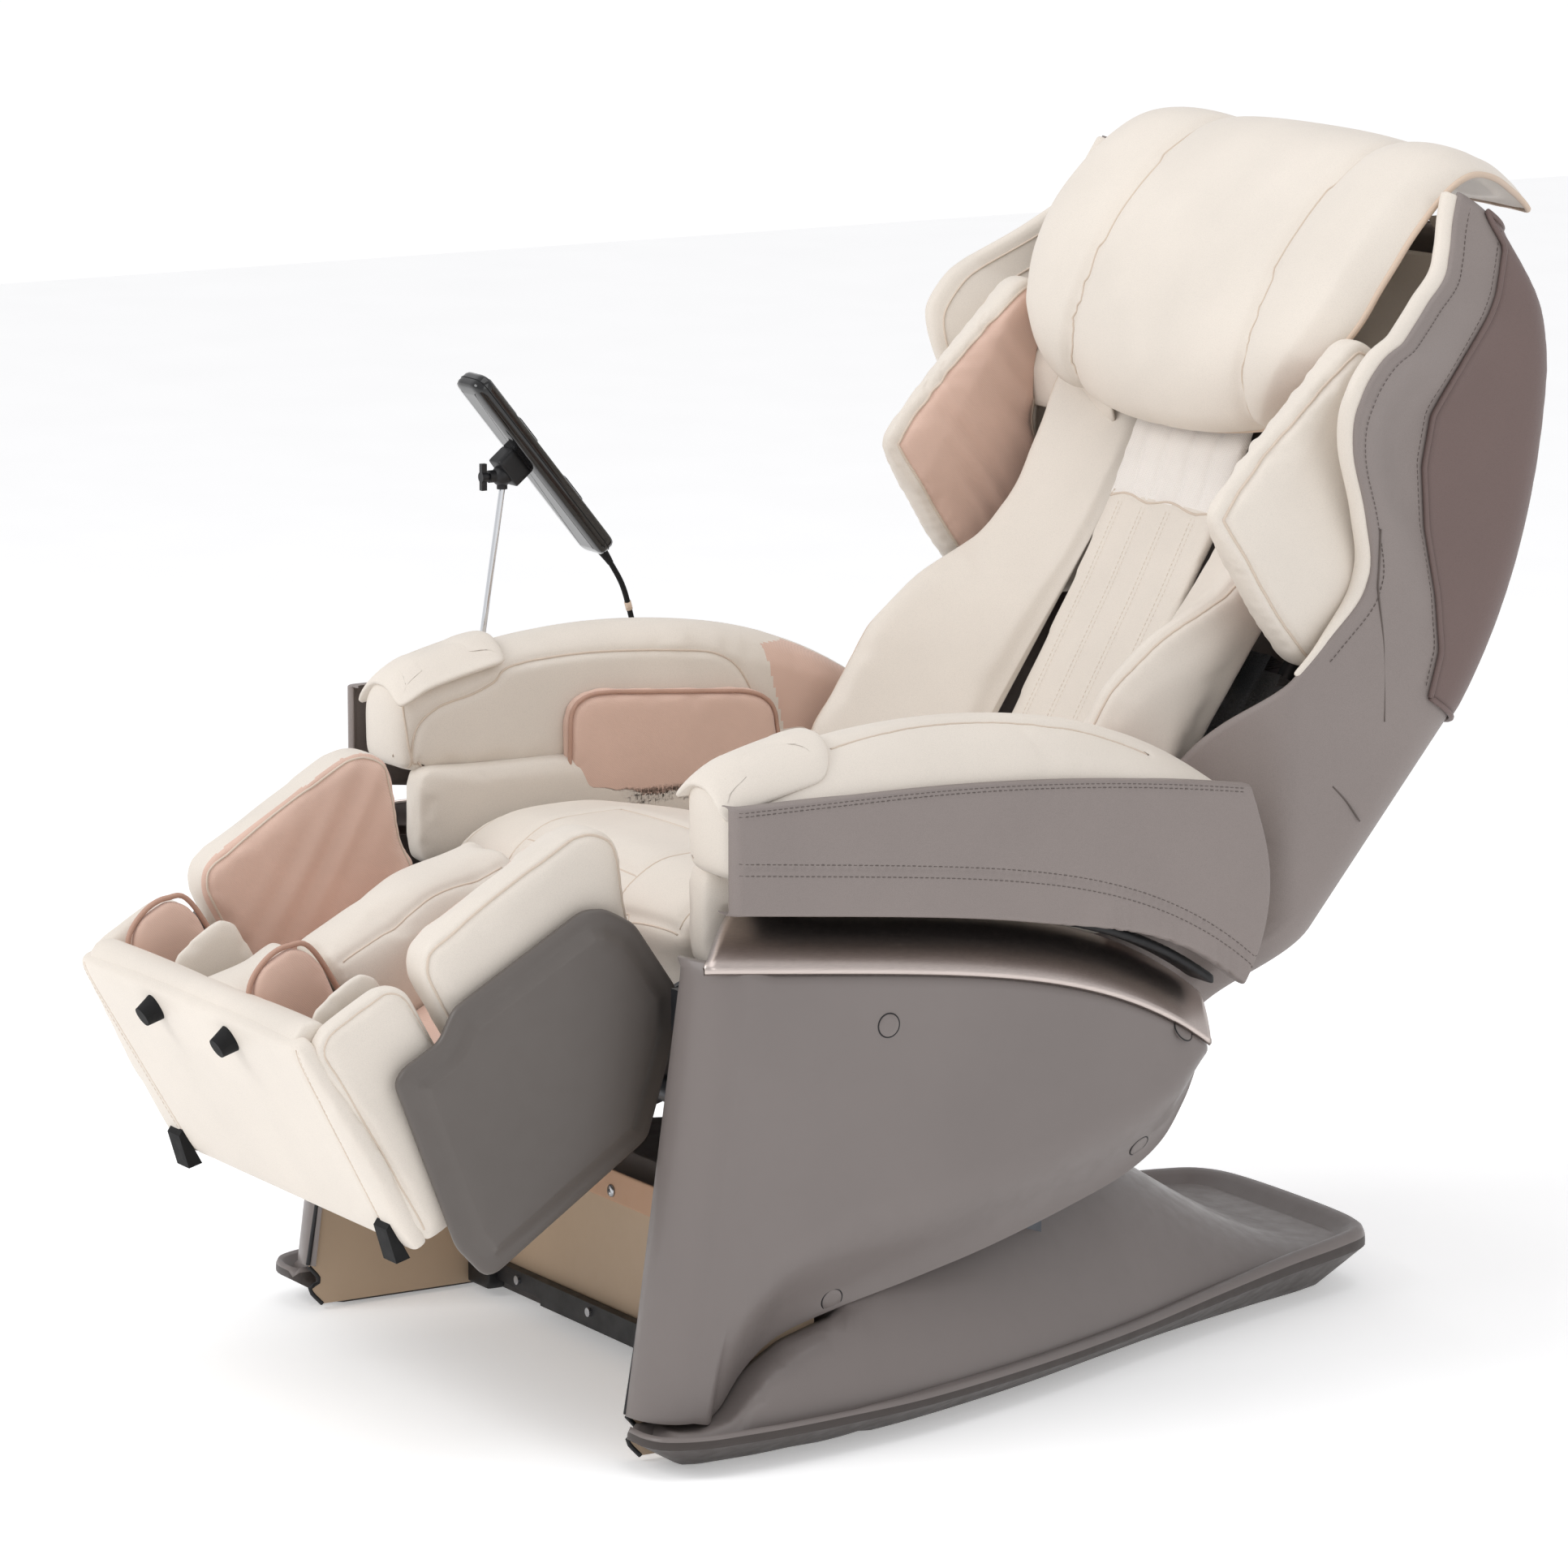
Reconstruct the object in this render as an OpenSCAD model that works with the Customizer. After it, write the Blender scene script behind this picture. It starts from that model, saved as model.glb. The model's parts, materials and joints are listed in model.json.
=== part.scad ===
// Reclining massage chair. Millimetres, +Z up, the sitter faces -Y, and the
// origin is on the floor under the middle of the seat. "left" is the sitter's left (+X).

/* [Body] */
// Half the width over the armrests
arm_half_w = 425; // [415:1:435]
// Half the width over the side covers
cover_half_w = 420; // [416:1:424]
// Wall of the side covers
cover_wall = 26; // [16:1:28]
// Height of the base plate's rim
plate_rim_h = 46; // [40:1:50]
// Height of the base plate's dished top
plate_top_h = 24; // [18:1:30]
// Half the width of the seat cushion
seat_half_w = 268; // [255:1:272]

/* [Back] */
// Lean of the back from upright, at rest
back_tilt = 33; // [28:1:38]
// Back hinge, distance behind the origin
hinge_y = 160; // [150:1:170]
// Back hinge, height above the floor
hinge_z = 420; // [410:1:430]
// Half the width of the back between the armrests
back_low_w = 282; // [275:1:284]
// Half the width of the back at the shoulders
back_high_w = 376; // [365:1:380]
// Length of the back above its hinge
back_len = 926; // [900:1:940]

/* [Legrest] */
// Slope of the legrest below level, at rest
leg_tilt = 29; // [20:1:35]
// Knee hinge, distance from the origin (negative is forward)
knee_y = -370; // [-380:1:-360]
// Knee hinge, height above the floor
knee_z = 460; // [450:1:470]
// Half the width of the calf pads
calf_half_w = 278; // [265:1:282]
// Length of the calf section
calf_len = 232; // [215:1:236]
// Sole plate, distance from the knee hinge
sole_y = 376; // [365:1:385]

/* [Remote] */
// Length of the remote control
remote_len = 262; // [230:1:280]
// Width of the remote control
remote_w = 54; // [44:1:60]
// Lean of the remote control from upright
remote_tilt = 39; // [30:1:50]

/* [Hidden] */
$fn = 48;
gap = 0.4;
cream = [0.91, 0.86, 0.80];
pink = [0.86, 0.74, 0.68];
warm_grey = [0.50, 0.46, 0.43];
beige = [0.77, 0.69, 0.60];
metal = [0.74, 0.72, 0.70];
black = [0.08, 0.08, 0.09];
steel = [0.35, 0.36, 0.38];

// Top edge of the side cover at a distance y, falling to the rear in a long arc
function cover_top(y) = 526 - 0.11 * (y + 413) - 85 * pow(max(0, y + 413) / 625, 5);
// Inner, upper edge of the bright trim
function trim_top(y) = cover_top(y - 25) + 42;
// Underside of the armrest: a constant gap above the trim
function arm_under(y) = trim_top(y) + 25;
// Top of the armrest's side, and the crown of its pad
function arm_side_top(y) = 686 - 34 * pow(max(0, y + 200) / 432, 2);
function arm_crown(y) = 750 - 0.00060 * pow(y + 110, 2) - 30 * pow(max(0, y) / 250, 3);
// Rear face of the back, in the back's own frame
function back_rear(z) = z > 450 ? 203 - 0.0008 * pow(z - 450, 2) : 203 - 0.12 * (450 - z);

function mirrored(half) = concat(half, [for (i = [len(half) - 1 : -1 : 0]) [-half[i][0], half[i][1]]]);

module both() {
    children();
    mirror([1, 0, 0]) children();
}
// A side profile of [y, z] points, made solid between two distances x
module slab(x_from, x_to, profile) {
    translate([x_from, 0, 0]) rotate([90, 0, 90]) linear_extrude(x_to - x_from) polygon(profile);
}
module block(x, y, z) {
    translate([x[0], y[0], z[0]]) cube([x[1] - x[0], y[1] - y[0], z[1] - z[0]]);
}
// A round bar along X
module bar(x_from, x_to, y, z, r) {
    translate([x_from, y, z]) rotate([0, 90, 0]) cylinder(r = r, h = x_to - x_from);
}
// The back's own frame: z runs up the back from its hinge, y points rearwards
module in_back() {
    translate([0, hinge_y, hinge_z]) rotate([-back_tilt, 0, 0]) children();
}
// The legrest's own frame: -y runs down the leg from the knee hinge, z is square to it
module in_leg() {
    translate([0, knee_y, knee_z]) rotate([leg_tilt, 0, 0]) children();
}

// ---- base -------------------------------------------------------------

plate_half = [
    [365, -238], [365, -482], [425, -482], [446, -450], [450, -330], [432, -180], [385, -30],
    [320, 170], [250, 340], [205, 530], [170, 596], [80, 612]
];
module base_plate() {
    color(warm_grey) difference() {
        linear_extrude(plate_rim_h) polygon(mirrored(plate_half));
        translate([0, 0, plate_top_h]) linear_extrude(plate_rim_h)
            intersection() {
                offset(delta = -20) polygon(mirrored(plate_half));
                translate([-450, -200]) square([900, 900]);
            }
    }
}

cover_profile = concat(
    [[-500, 54], [-434, 518]],
    [for (y = [-410 : 60 : 190]) [y, cover_top(y) - 9]],
    [[226, 356], [160, 245], [-42, 174], [-231, 135], [-299, 118], [-353, 91], [-387, 62], [-425, 54]]
);
plinth_profile = [
    [-470, 47], [-428, 470], [140, 395], [120, 232], [40, 70], [20, 47]
];
module side_cover() {
    slab(cover_half_w - cover_wall, cover_half_w, cover_profile);
    slab(366, cover_half_w - cover_wall, plinth_profile);
}
module side_cover_left() { color(warm_grey) side_cover(); }
module side_cover_right() { color(warm_grey) mirror([1, 0, 0]) side_cover(); }

// The bright band: it slopes down outwards from under the armrest to the side cover
trim_stations = [-408, -300, -160, -20, 90, 160, 212];
module trim_station(y) {
    translate([cover_half_w - 4, y, cover_top(y) - 3.4]) cube([4, 0.5, 3]);
    translate([332, y + 40, trim_top(y + 40) - 3]) cube([4, 0.5, 3]);
}
module trim() {
    for (i = [0 : len(trim_stations) - 2])
        hull() {
            trim_station(trim_stations[i]);
            trim_station(trim_stations[i + 1]);
        }
}
module trim_left() { color(metal) trim(); }
module trim_right() { color(metal) mirror([1, 0, 0]) trim(); }

cap_places = [[-199, 441], [166, 393], [139, 263], [-236, 144]];
module screw_caps() {
    color(warm_grey) both()
        for (p = cap_places) bar(cover_half_w, cover_half_w + 2, p[0], p[1], 13);
}

module front_cover() {
    color(beige) {
        block([-354, 354], [-252, -249], [26, 188]);
        both() block([351, 354], [-468, -252], [6, 440]);
    }
}
module front_rail() {
    color(black) {
        block([-346, 346], [-266, -254], [20, 40]);
        block([-200, 200], [-266, -254], [12, 20]);
    }
}
module frame_screws() {
    color(metal) both()
        for (x = [90, 250])
            translate([x, -266, 30]) rotate([90, 0, 0]) cylinder(r = 5, h = 3);
}

shaft_r = 12;
running = 0.05;
post_x = [236, 264];
front_post_y = [-198, -170];
rear_post_y = [30, 90];
post_top_z = 400;
// One side of the steel frame, drilled for both hinge shafts
module frame_side() {
    difference() {
        union() {
            slab(312, 326, [[-395, 438], [-395, 482], [-345, 482], [-330, 440], [135, 440], [135, 446],
                            [186, 446], [186, 392], [135, 392], [-330, 400]]);
            for (y = [front_post_y, rear_post_y]) {
                block(post_x, y, [plate_top_h, post_top_z]);
                block([post_x[0], 336], y, [post_top_z - 15, post_top_z + 10]);
            }
        }
        bar(300, 350, knee_y, knee_z, shaft_r + running);
        bar(300, 350, hinge_y, hinge_z, shaft_r + running);
    }
    block([240, 260], [-190, 70], [plate_top_h, plate_top_h + 26]);
}
module seat_frame() {
    color(steel) {
        both() frame_side();
        block([-314, 314], [-328, 118], [434, 439]);
        bar(-262, 262, -262, 312, 14);
        bar(-262, 262, 24, 369, 12);
        both() block([240, 260], [-270, front_post_y[1]], [292, 332]);
    }
}
module seat_cushion() {
    color(cream) slab(-seat_half_w, seat_half_w, [
        [-334, 441], [-345, 454], [-346, 482], [-362, 502], [-364, 526], [-352, 552], [-300, 572], [-200, 574],
        [-100, 556], [0, 526], [80, 500], [122, 484], [122, 441]
    ]);
}
module arm_track() {
    slab(340, 392, concat(
        [for (y = [-376 : 50 : 224]) [y, arm_under(y) - 4]],
        [for (y = [224 : -50 : -376]) [y, trim_top(y) + 3]]));
    bar(340, 392, 226, 431.5, 9);
}
module arm_tracks() { color(black) both() arm_track(); }
module air_pump() {
    color(black) {
        block([-190, -20], [-140, 50], [24, 120]);
        for (x = [-150, -60]) translate([x, -50, 120]) cylinder(r = 30, h = 40);
    }
}
module power_box() {
    color(black) {
        block([20, 190], [-60, 220], [24, 112]);
        difference() {
            block([40, 120], [220, 228], [40, 96]);
            block([92, 114], [219, 230], [50, 86]);
            block([48, 80], [221, 230], [56, 80]);
        }
    }
}
module power_switch() { color("red") block([94.5, 111.5], [223.5, 232], [53, 83]); }

// ---- back -------------------------------------------------------------

rail_x = 176;
rail_y = 96;
axle_y = 114;
wheel_r = 15;
track_y = axle_y + wheel_r + gap;
lever_x = 80;
lever_y = 88.4;
lever_z = -65.4;
module back_side_ear() {
    difference() {
        slab(253, 261, [[-24, -22], [-24, 20], [60, 96], [118, 96], [118, 56], [26, -22]]);
        bar(245, 270, 0, 0, shaft_r);
    }
}
module back_frame() {
    color(steel) in_back() {
        bar(-340, 340, 0, 0, shaft_r);
        both() back_side_ear();
        both() translate([rail_x, rail_y, 60]) cylinder(r = 10, h = 712);
        block([-261, 261], [84, 108], [60, 84]);
        block([-261, 261], [84, 108], [748, 772]);
        both() {
            block([198, 214], [track_y, track_y + 4], [60, 704]);
            block([198, 214], [108, track_y], [60, 84]);
            block([176, 214], [96, track_y], [688, 704]);
        }
        for (side = [-1, 1])
            translate([lever_x + side * 17, 0, 0]) lever_plate();
        bar(lever_x - 20, lever_x + 20, lever_y, lever_z, 6);
    }
}
module lever_plate() {
    slab(-3, 3, [[-16, 4], [12, 16], [lever_y + 12, lever_z + 6], [lever_y + 4, lever_z - 12],
                 [lever_y - 10, lever_z - 10], [-8, -14]]);
}

shell_wall = 8;
// Rear skin of the back, from z_low to z_high
function rear_skin(z_low, z_high, wall) = concat(
    [for (z = [z_low : 45 : z_high]) [back_rear(z), z]],
    [for (z = [z_high : -45 : z_low]) [back_rear(z) - wall, z]]);
module back_shell() {
    color(warm_grey) in_back() {
        slab(-back_low_w + 22, back_low_w - 22, rear_skin(20, 425, shell_wall));
        slab(-350, 350, rear_skin(425, 875, shell_wall));
        slab(-300, 300, [[-60, 880], [-90, 900], [-80, back_len], [10, back_len], [64, 866], [56, 862], [0, 900]]);
    }
}
// The sides: narrow between the armrests, wide at the shoulders
wrap_low = [
    [-96, 120], [-100, 250], [-60, 345], [20, 345], [back_rear(345), 345], [back_rear(200), 200],
    [back_rear(20), 20], [60, 20], [60, 110], [0, 110]
];
wrap_high = [
    [-36, 386], [0, 498], [-24, 518], [-104, 610], [-130, 668], [-116, 745], [-100, 830], [-88, 908],
    [0, 908], [back_rear(860), 860], [back_rear(780), 780], [back_rear(680), 680],
    [back_rear(580), 580], [back_rear(480), 480], [back_rear(386), 386]
];
module back_wrap() {
    in_back() {
        slab(back_low_w - 20, back_low_w, wrap_low);
        slab(back_high_w - 24, back_high_w, wrap_high);
        slab(back_low_w - 20, back_high_w, [[-40, 346], [-36, 385], [back_rear(386), 385], [back_rear(345), 346]]);
    }
}
module back_wrap_left() { color(warm_grey) back_wrap(); }
module back_wrap_right() { color(warm_grey) mirror([1, 0, 0]) back_wrap(); }

// Side bolster of the back, deepest beside the hips
bolster_profile = [
    [-110, 72], [-150, 112], [-158, 150], [-158, 274], [-131, 351], [-80, 431], [-66, 491],
    [-84, 610], [-30, 610], [-22, 491], [-22, 110], [-60, 72]
];
module bolster() { in_back() slab(112, 258, bolster_profile); }
module back_pad_left() { color(cream) bolster(); }
module back_pad_right() { color(cream) mirror([1, 0, 0]) bolster(); }
module back_strip() {
    color(cream) in_back() slab(-108, 108, [
        [-14, 112], [-14, 253], [-24, 420], [-34, 520], [-56, 600], [-44, 606], [-22, 524],
        [-12, 420], [-2, 253], [-2, 112]
    ]);
}
// Shoulder air bags: leaf-shaped pads standing out from the sides of the back
wing_profile = [
    [-44, 388], [-120, 420], [-196, 462], [-206, 480], [-200, 560], [-176, 680], [-150, 712],
    [-118, 700], [-108, 620], [-30, 520], [-6, 500], [-14, 440]
];
module wing() { in_back() slab(300, 350, wing_profile); }
module wing_left() { color(cream) wing(); }
module wing_right() { color(cream) mirror([1, 0, 0]) wing(); }

module pillow_flap() {
    color(cream) in_back()
        slab(-240, 240, [
            [-104, 946], [-96, 964], [-40, 984], [30, 984], [78, 966], [98, 940], [90, 934],
            [60, 948], [10, 962], [-50, 960], [-94, 940]
        ]);
}
module head_pillow() {
    color(cream) in_back() {
        slab(-250, 250, [
            [-96, 622], [-116, 640], [-122, 760], [-116, 880], [-102, 924], [-92, 924], [-92, 622]
        ]);
    }
}

// ---- massage mechanism --------------------------------------------------

carriage_z = 360;
axle_z = carriage_z + 30;
arm_pivot_x = 70;
roller_r = 28;
module carriage() {
    color(metal) in_back() difference() {
        union() {
            block([-150, 150], [84, 126], [carriage_z - 60, carriage_z + 60]);
            both() block([150, 192], [78, 114], [carriage_z - 40, carriage_z + 40]);
            both() translate([arm_pivot_x, 84, carriage_z]) rotate([90, 0, 0]) cylinder(r = 8, h = 18);
            translate([0, 100, carriage_z - 106]) cylinder(r = 26, h = 46);
        }
        both() translate([rail_x, rail_y, carriage_z - 80]) cylinder(r = 10 + running, h = 160);
        bar(-200, 200, axle_y, axle_z, 6 + running);
    }
}
module drive_axle() {
    color(steel) in_back() {
        bar(-212, 212, axle_y, axle_z, 6);
        both() bar(200, 212, axle_y, axle_z, wheel_r);
    }
}
roller_dz = 52;
roller_y = 42;
// A kneading arm: a rocker plate on the carriage's stub, with a roller shaft at each end
module knead_arm(x) {
    in_back() {
        difference() {
            union() {
                translate([x, 82, carriage_z]) rotate([90, 0, 0]) cylinder(r = 18, h = 12);
                block([x - 9, x + 9], [70, 82], [carriage_z - 64, carriage_z + 64]);
            }
            translate([x, 90, carriage_z]) rotate([90, 0, 0]) cylinder(r = 8 + running, h = 30);
        }
        for (side = [-1, 1]) {
            block([x - 5, x + 5], [roller_y - 8, 70], [carriage_z + side * roller_dz - 8, carriage_z + side * roller_dz + 8]);
            bar(x - 21, x + 21, roller_y, carriage_z + side * roller_dz, 5);
        }
    }
}
// A kneading roller: two rubber rims, one on each side of the arm
module roller(x, side) {
    in_back() for (dx = [-14, 14])
        translate([x + dx, roller_y, carriage_z + side * roller_dz]) rotate([0, 90, 0])
            difference() {
                cylinder(r = roller_r, h = 14, center = true);
                cylinder(r = 5 + running, h = 16, center = true);
            }
}
module knead_arm_left() { color(metal) knead_arm(arm_pivot_x); }
module knead_arm_right() { color(metal) knead_arm(-arm_pivot_x); }
module roller_top_left() { color(black) roller(arm_pivot_x, 1); }
module roller_low_left() { color(black) roller(arm_pivot_x, -1); }
module roller_top_right() { color(black) roller(-arm_pivot_x, 1); }
module roller_low_right() { color(black) roller(-arm_pivot_x, -1); }

// ---- actuators ----------------------------------------------------------

// A round bar along Y
module rod_y(x, y_from, y_to, z, r) {
    translate([x, y_from, z]) rotate([-90, 0, 0]) cylinder(r = r, h = y_to - y_from);
}
module eye(x, y, z, r_out, r_in, w) {
    difference() {
        bar(x - w / 2, x + w / 2, y, z, r_out);
        bar(x - w, x + w, y, z, r_in);
    }
}
back_rod_y = 198.5;
back_rod_z = 314;
module back_actuator() {
    color(black) {
        difference() {
            rod_y(lever_x, -232, 0, back_rod_z, 24);
            rod_y(lever_x, -205, 10, back_rod_z, 11 + running);
        }
        block([lever_x - 52, lever_x - 18], [-225, -140], [back_rod_z - 24, back_rod_z + 20]);
        block([lever_x - 12, lever_x + 12], [-248, -232], [back_rod_z - 14, back_rod_z + 10]);
    }
}
module back_actuator_rod() {
    color(metal) {
        rod_y(lever_x, -110, back_rod_y - 22, back_rod_z, 11);
        eye(lever_x, back_rod_y, back_rod_z, 23, 16, 18);
    }
}
knee_lever_x = -80;
knee_rod_y = -388.2;
knee_rod_z = 369;
module leg_actuator() {
    color(black) {
        difference() {
            rod_y(knee_lever_x, -200, -4, knee_rod_z, 24);
            rod_y(knee_lever_x, -210, -30, knee_rod_z, 11 + running);
        }
        block([knee_lever_x - 52, knee_lever_x - 18], [-96, -12], [knee_rod_z - 24, knee_rod_z + 20]);
        block([knee_lever_x - 12, knee_lever_x + 12], [-4, 12], [knee_rod_z - 10, knee_rod_z + 10]);
    }
}
module leg_actuator_rod() {
    color(metal) {
        rod_y(knee_lever_x, knee_rod_y + 22, -120, knee_rod_z, 11);
        eye(knee_lever_x, knee_rod_y, knee_rod_z, 23, 18, 18);
    }
}

// ---- armrests -----------------------------------------------------------

arm_front = -384;
arm_rear = 272;
arm_inner_x = 302;
arm_stations = [for (y = [arm_front : 41 : arm_rear]) y];
module armrest_shell() {
    slab(arm_half_w - 12, arm_half_w, concat(
        [for (y = arm_stations) [y, arm_under(y)]],
        [for (i = [len(arm_stations) - 1 : -1 : 0]) [arm_stations[i], arm_side_top(arm_stations[i])]]));
    slab(arm_inner_x, arm_half_w - 12, concat(
        [for (y = arm_stations) [y, arm_under(y)]],
        [for (i = [len(arm_stations) - 1 : -1 : 0]) [arm_stations[i], arm_under(arm_stations[i]) + 12]]));
}
module arm_pad() {
    slab(arm_inner_x, arm_half_w - 12 - gap, concat(
        [for (y = arm_stations) [y, arm_under(y) + 12]],
        [[arm_rear, 640]],
        [for (i = [len(arm_stations) - 2 : -1 : 1]) [arm_stations[i], arm_crown(arm_stations[i])]],
        [[arm_front, 700]]));
}
module hip_pad() {
    slab(285, arm_inner_x, [
        [-182, 545], [-182, 640], [-166, 668], [-130, 680], [60, 662], [94, 640], [104, 600], [100, 535]
    ]);
}
module armrest_left() { color(warm_grey) armrest_shell(); }
module arm_pad_left() { color(cream) arm_pad(); }
module hip_pad_left() { color(pink) hip_pad(); }
module armrest_right() { color(warm_grey) mirror([1, 0, 0]) armrest_shell(); }
module arm_pad_right() { color(cream) mirror([1, 0, 0]) arm_pad(); }
module hip_pad_right() { color(pink) mirror([1, 0, 0]) hip_pad(); }

// ---- legrest and footrest -------------------------------------------------

slide_x = 130;
slide_z = -30;
slide_r = 9;
module leg_frame() {
    color(steel) in_leg() {
        difference() {
            block([-270, 270], [-calf_len, -40], [-42, 36]);
            block([-250, 250], [-calf_len + 14, -54], [-54, 26]);
            for (x = [-slide_x, slide_x])
                translate([x, -calf_len - 5, slide_z]) rotate([-90, 0, 0])
                    cylinder(r = slide_r + running, h = calf_len);
        }
        bar(-336, 336, 0, 0, shaft_r);
        both() slab(272, 280, [[-110, -40], [-110, 34], [-16, 16], [16, 12], [16, -12], [-20, -20]]);
        both() block([270, 272], [-110, -60], [-36, 30]);
        for (side = [-1, 1])
            translate([knee_lever_x + side * 17, 0, 0])
                slab(-3, 3, [[-14, 6], [14, 4], [-48, -92], [-60, -100], [-76, -94], [-74, -80], [-44, -40]]);
        bar(knee_lever_x - 20, knee_lever_x + 20, -63.6, -77.1, 6);
    }
}
calf_floor = 50;
calf_top = 208;
calf_wall = 62;
// A W-shaped section of [x, z] points, made solid along y
module trough(y_from, y_to, section) {
    translate([0, y_to, 0]) rotate([90, 0, 0]) linear_extrude(y_to - y_from) polygon(section);
}
module calf_pads() {
    color(cream) in_leg() trough(-calf_len, -6, mirrored([
        [0, 165], [30, 165], [40, 150], [46, calf_floor + 12], [60, calf_floor],
        [calf_half_w - calf_wall - 14, calf_floor], [calf_half_w - calf_wall, calf_floor + 14],
        [calf_half_w - calf_wall + 4, calf_top - 14], [calf_half_w - calf_wall + 18, calf_top],
        [calf_half_w - 16, calf_top], [calf_half_w, calf_top - 16], [calf_half_w, 36], [0, 36]
    ]));
}
leg_cover_profile = [
    [-325, -110], [-310, 112], [-298, 128], [-254, 128], [-226, 147], [-42, 147], [-20, 136],
    [-4, 60], [-30, 2], [-100, -88]
];
module leg_cover() {
    in_leg() {
        slab(286, 300, leg_cover_profile);
        block([281, 286], [-150, -90], [-30, 30]);
    }
}
module leg_cover_left() { color(warm_grey) leg_cover(); }
module leg_cover_right() { color(warm_grey) mirror([1, 0, 0]) leg_cover(); }

module foot_box() {
    color(cream) in_leg() {
        block([-262, 262], [-sole_y, -sole_y + 16], [-62, 206]);
        trough(-sole_y + 16, -calf_len - 8, mirrored([
            [0, 120], [34, 120], [44, 0], [56, -14], [214, -14], [226, 0], [232, 206], [266, 206],
            [278, 60], [278, -60], [0, -60]
        ]));
    }
}
module foot_pads() {
    color(pink) in_leg()
        for (x = [-225, 46])
            slab(x, x + 18, [[-330, 0], [-330, 196], [-300, 216], [-264, 216], [-246, 196], [-246, 0]]);
}
module foot_slides() {
    color(metal) in_leg() for (x = [-slide_x, slide_x])
        translate([x, -calf_len - 8, slide_z]) rotate([-90, 0, 0]) cylinder(r = slide_r, h = 186);
}
module foot_bumpers() {
    color(black) in_leg() {
        for (x = [-86, 86])
            translate([x, -sole_y, 176]) rotate([90, 0, 0]) cylinder(r1 = 15, r2 = 11, h = 20);
        both() slab(222, 250, [[-sole_y, -20], [-sole_y - 8, -24], [-sole_y - 16, -62], [-sole_y, -66]]);
    }
}

// ---- remote control -------------------------------------------------------

stand_x = -434;
remote_x = -424;
remote_y = -141;
remote_z = 912;
ball_y = -178;
ball_z = 900;
module stand_rod() {
    color(metal) {
        block([stand_x - 8, -arm_half_w], [-232, -204], [600, 640]);
        hull() {
            translate([stand_x, -219, 630]) cylinder(r = 3.5, h = 1, $fn = 32);
            translate([stand_x, ball_y, ball_z - 16]) cylinder(r = 3.5, h = 1, $fn = 32);
        }
    }
}
module in_remote() {
    translate([remote_x, remote_y, remote_z]) rotate([remote_tilt, 0, 0]) children();
}
ball_r = 12;
module stand_clamp() {
    color(black) difference() {
        union() {
            translate([stand_x, ball_y, ball_z]) sphere(r = ball_r);
            translate([stand_x, ball_y, ball_z - 15]) cylinder(r = 6, h = 10);
            translate([stand_x, ball_y, ball_z]) rotate([90, 0, 0]) cylinder(r = 7, h = 17);
        }
        translate([stand_x, ball_y - 11, ball_z]) rotate([90, 0, 0]) cylinder(r = 3.5 + running, h = 10);
    }
}
module clamp_knob() {
    color(black) {
        translate([stand_x, ball_y - 12, ball_z]) rotate([90, 0, 0]) cylinder(r = 3.5, h = 9);
        translate([stand_x, ball_y - 20, ball_z]) rotate([90, 0, 0]) cylinder(r = 6, h = 7);
        block([stand_x - 3, stand_x + 3], [ball_y - 27, ball_y - 20.5], [ball_z - 15, ball_z + 15]);
    }
}
cradle_y = -37;
key_places = [40, -50];
module remote() {
    color(black) in_remote() {
        difference() {
            hull()
                for (z = [-remote_len / 2 + 14, remote_len / 2 - 14], x = [-remote_w / 2 + 12, remote_w / 2 - 12])
                    translate([x, 13, z]) rotate([90, 0, 0]) cylinder(r = 12, h = 24, $fn = 32);
            for (z = key_places) block([-12.5, 12.5], [8, 14], [z - 20.5, z + 20.5]);
        }
        difference() {
            block([-24, 4], [cradle_y - 8, -11], [-4, 34]);
            translate([stand_x - remote_x, cradle_y + 1, 14]) sphere(r = ball_r + gap);
            block([-30, 10], [cradle_y - 20, cradle_y + 3], [-10, 40]);
        }
    }
}
module key(z) { in_remote() block([-12, 12], [10, 16], [z - 20, z + 20]); }
module key_upper() { color(steel) key(key_places[0]); }
module key_lower() { color(steel) key(key_places[1]); }

// ---- cords ------------------------------------------------------------------

// A point on a smooth curve through a list of points
function spline(p, i, t) =
    let (a = p[max(i - 1, 0)], b = p[i], c = p[i + 1], d = p[min(i + 2, len(p) - 1)])
    0.5 * (2 * b + (c - a) * t + (2 * a - 5 * b + 4 * c - d) * t * t + (3 * b - a - 3 * c + d) * t * t * t);
function route(p, steps) = concat(
    [for (i = [0 : len(p) - 2], s = [0 : steps - 1]) spline(p, i, s / steps)], [p[len(p) - 1]]);
function unit(v) = v / norm(v);
// A round tube swept along a path, its rings turned square to the path
module tube(path, r, sides) {
    last = len(path) - 1;
    rings = [for (i = [0 : last])
        let (t = unit(path[min(i + 1, last)] - path[max(i - 1, 0)]),
             u = unit(cross(t, [0.31, 0.27, 0.91] + [0.5, 0, 0] * t[2] * t[2])),
             v = cross(t, u))
        for (k = [0 : sides - 1])
            path[i] + r * (cos(360 * k / sides) * u + sin(360 * k / sides) * v)];
    polyhedron(rings, concat(
        [[for (k = [0 : sides - 1]) k]],
        [for (i = [0 : last - 1], k = [0 : sides - 1])
            [i * sides + k, (i + 1) * sides + k, (i + 1) * sides + (k + 1) % sides, i * sides + (k + 1) % sides]],
        [[for (k = [sides - 1 : -1 : 0]) last * sides + k]]));
}
remote_cord_route = [
    [-424, -57, 808], [-424, -44, 790], [-427, -28, 764], [-434, -14, 730], [-437, -4, 694],
    [-437, 2, 660], [-436, 5, 640], [-433, 6, 628], [-429.5, 6, 625.3], [-426, 6, 625]
];
module remote_cord() { color(black) tube(route(remote_cord_route, 5), 3.2, 8); }
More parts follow.
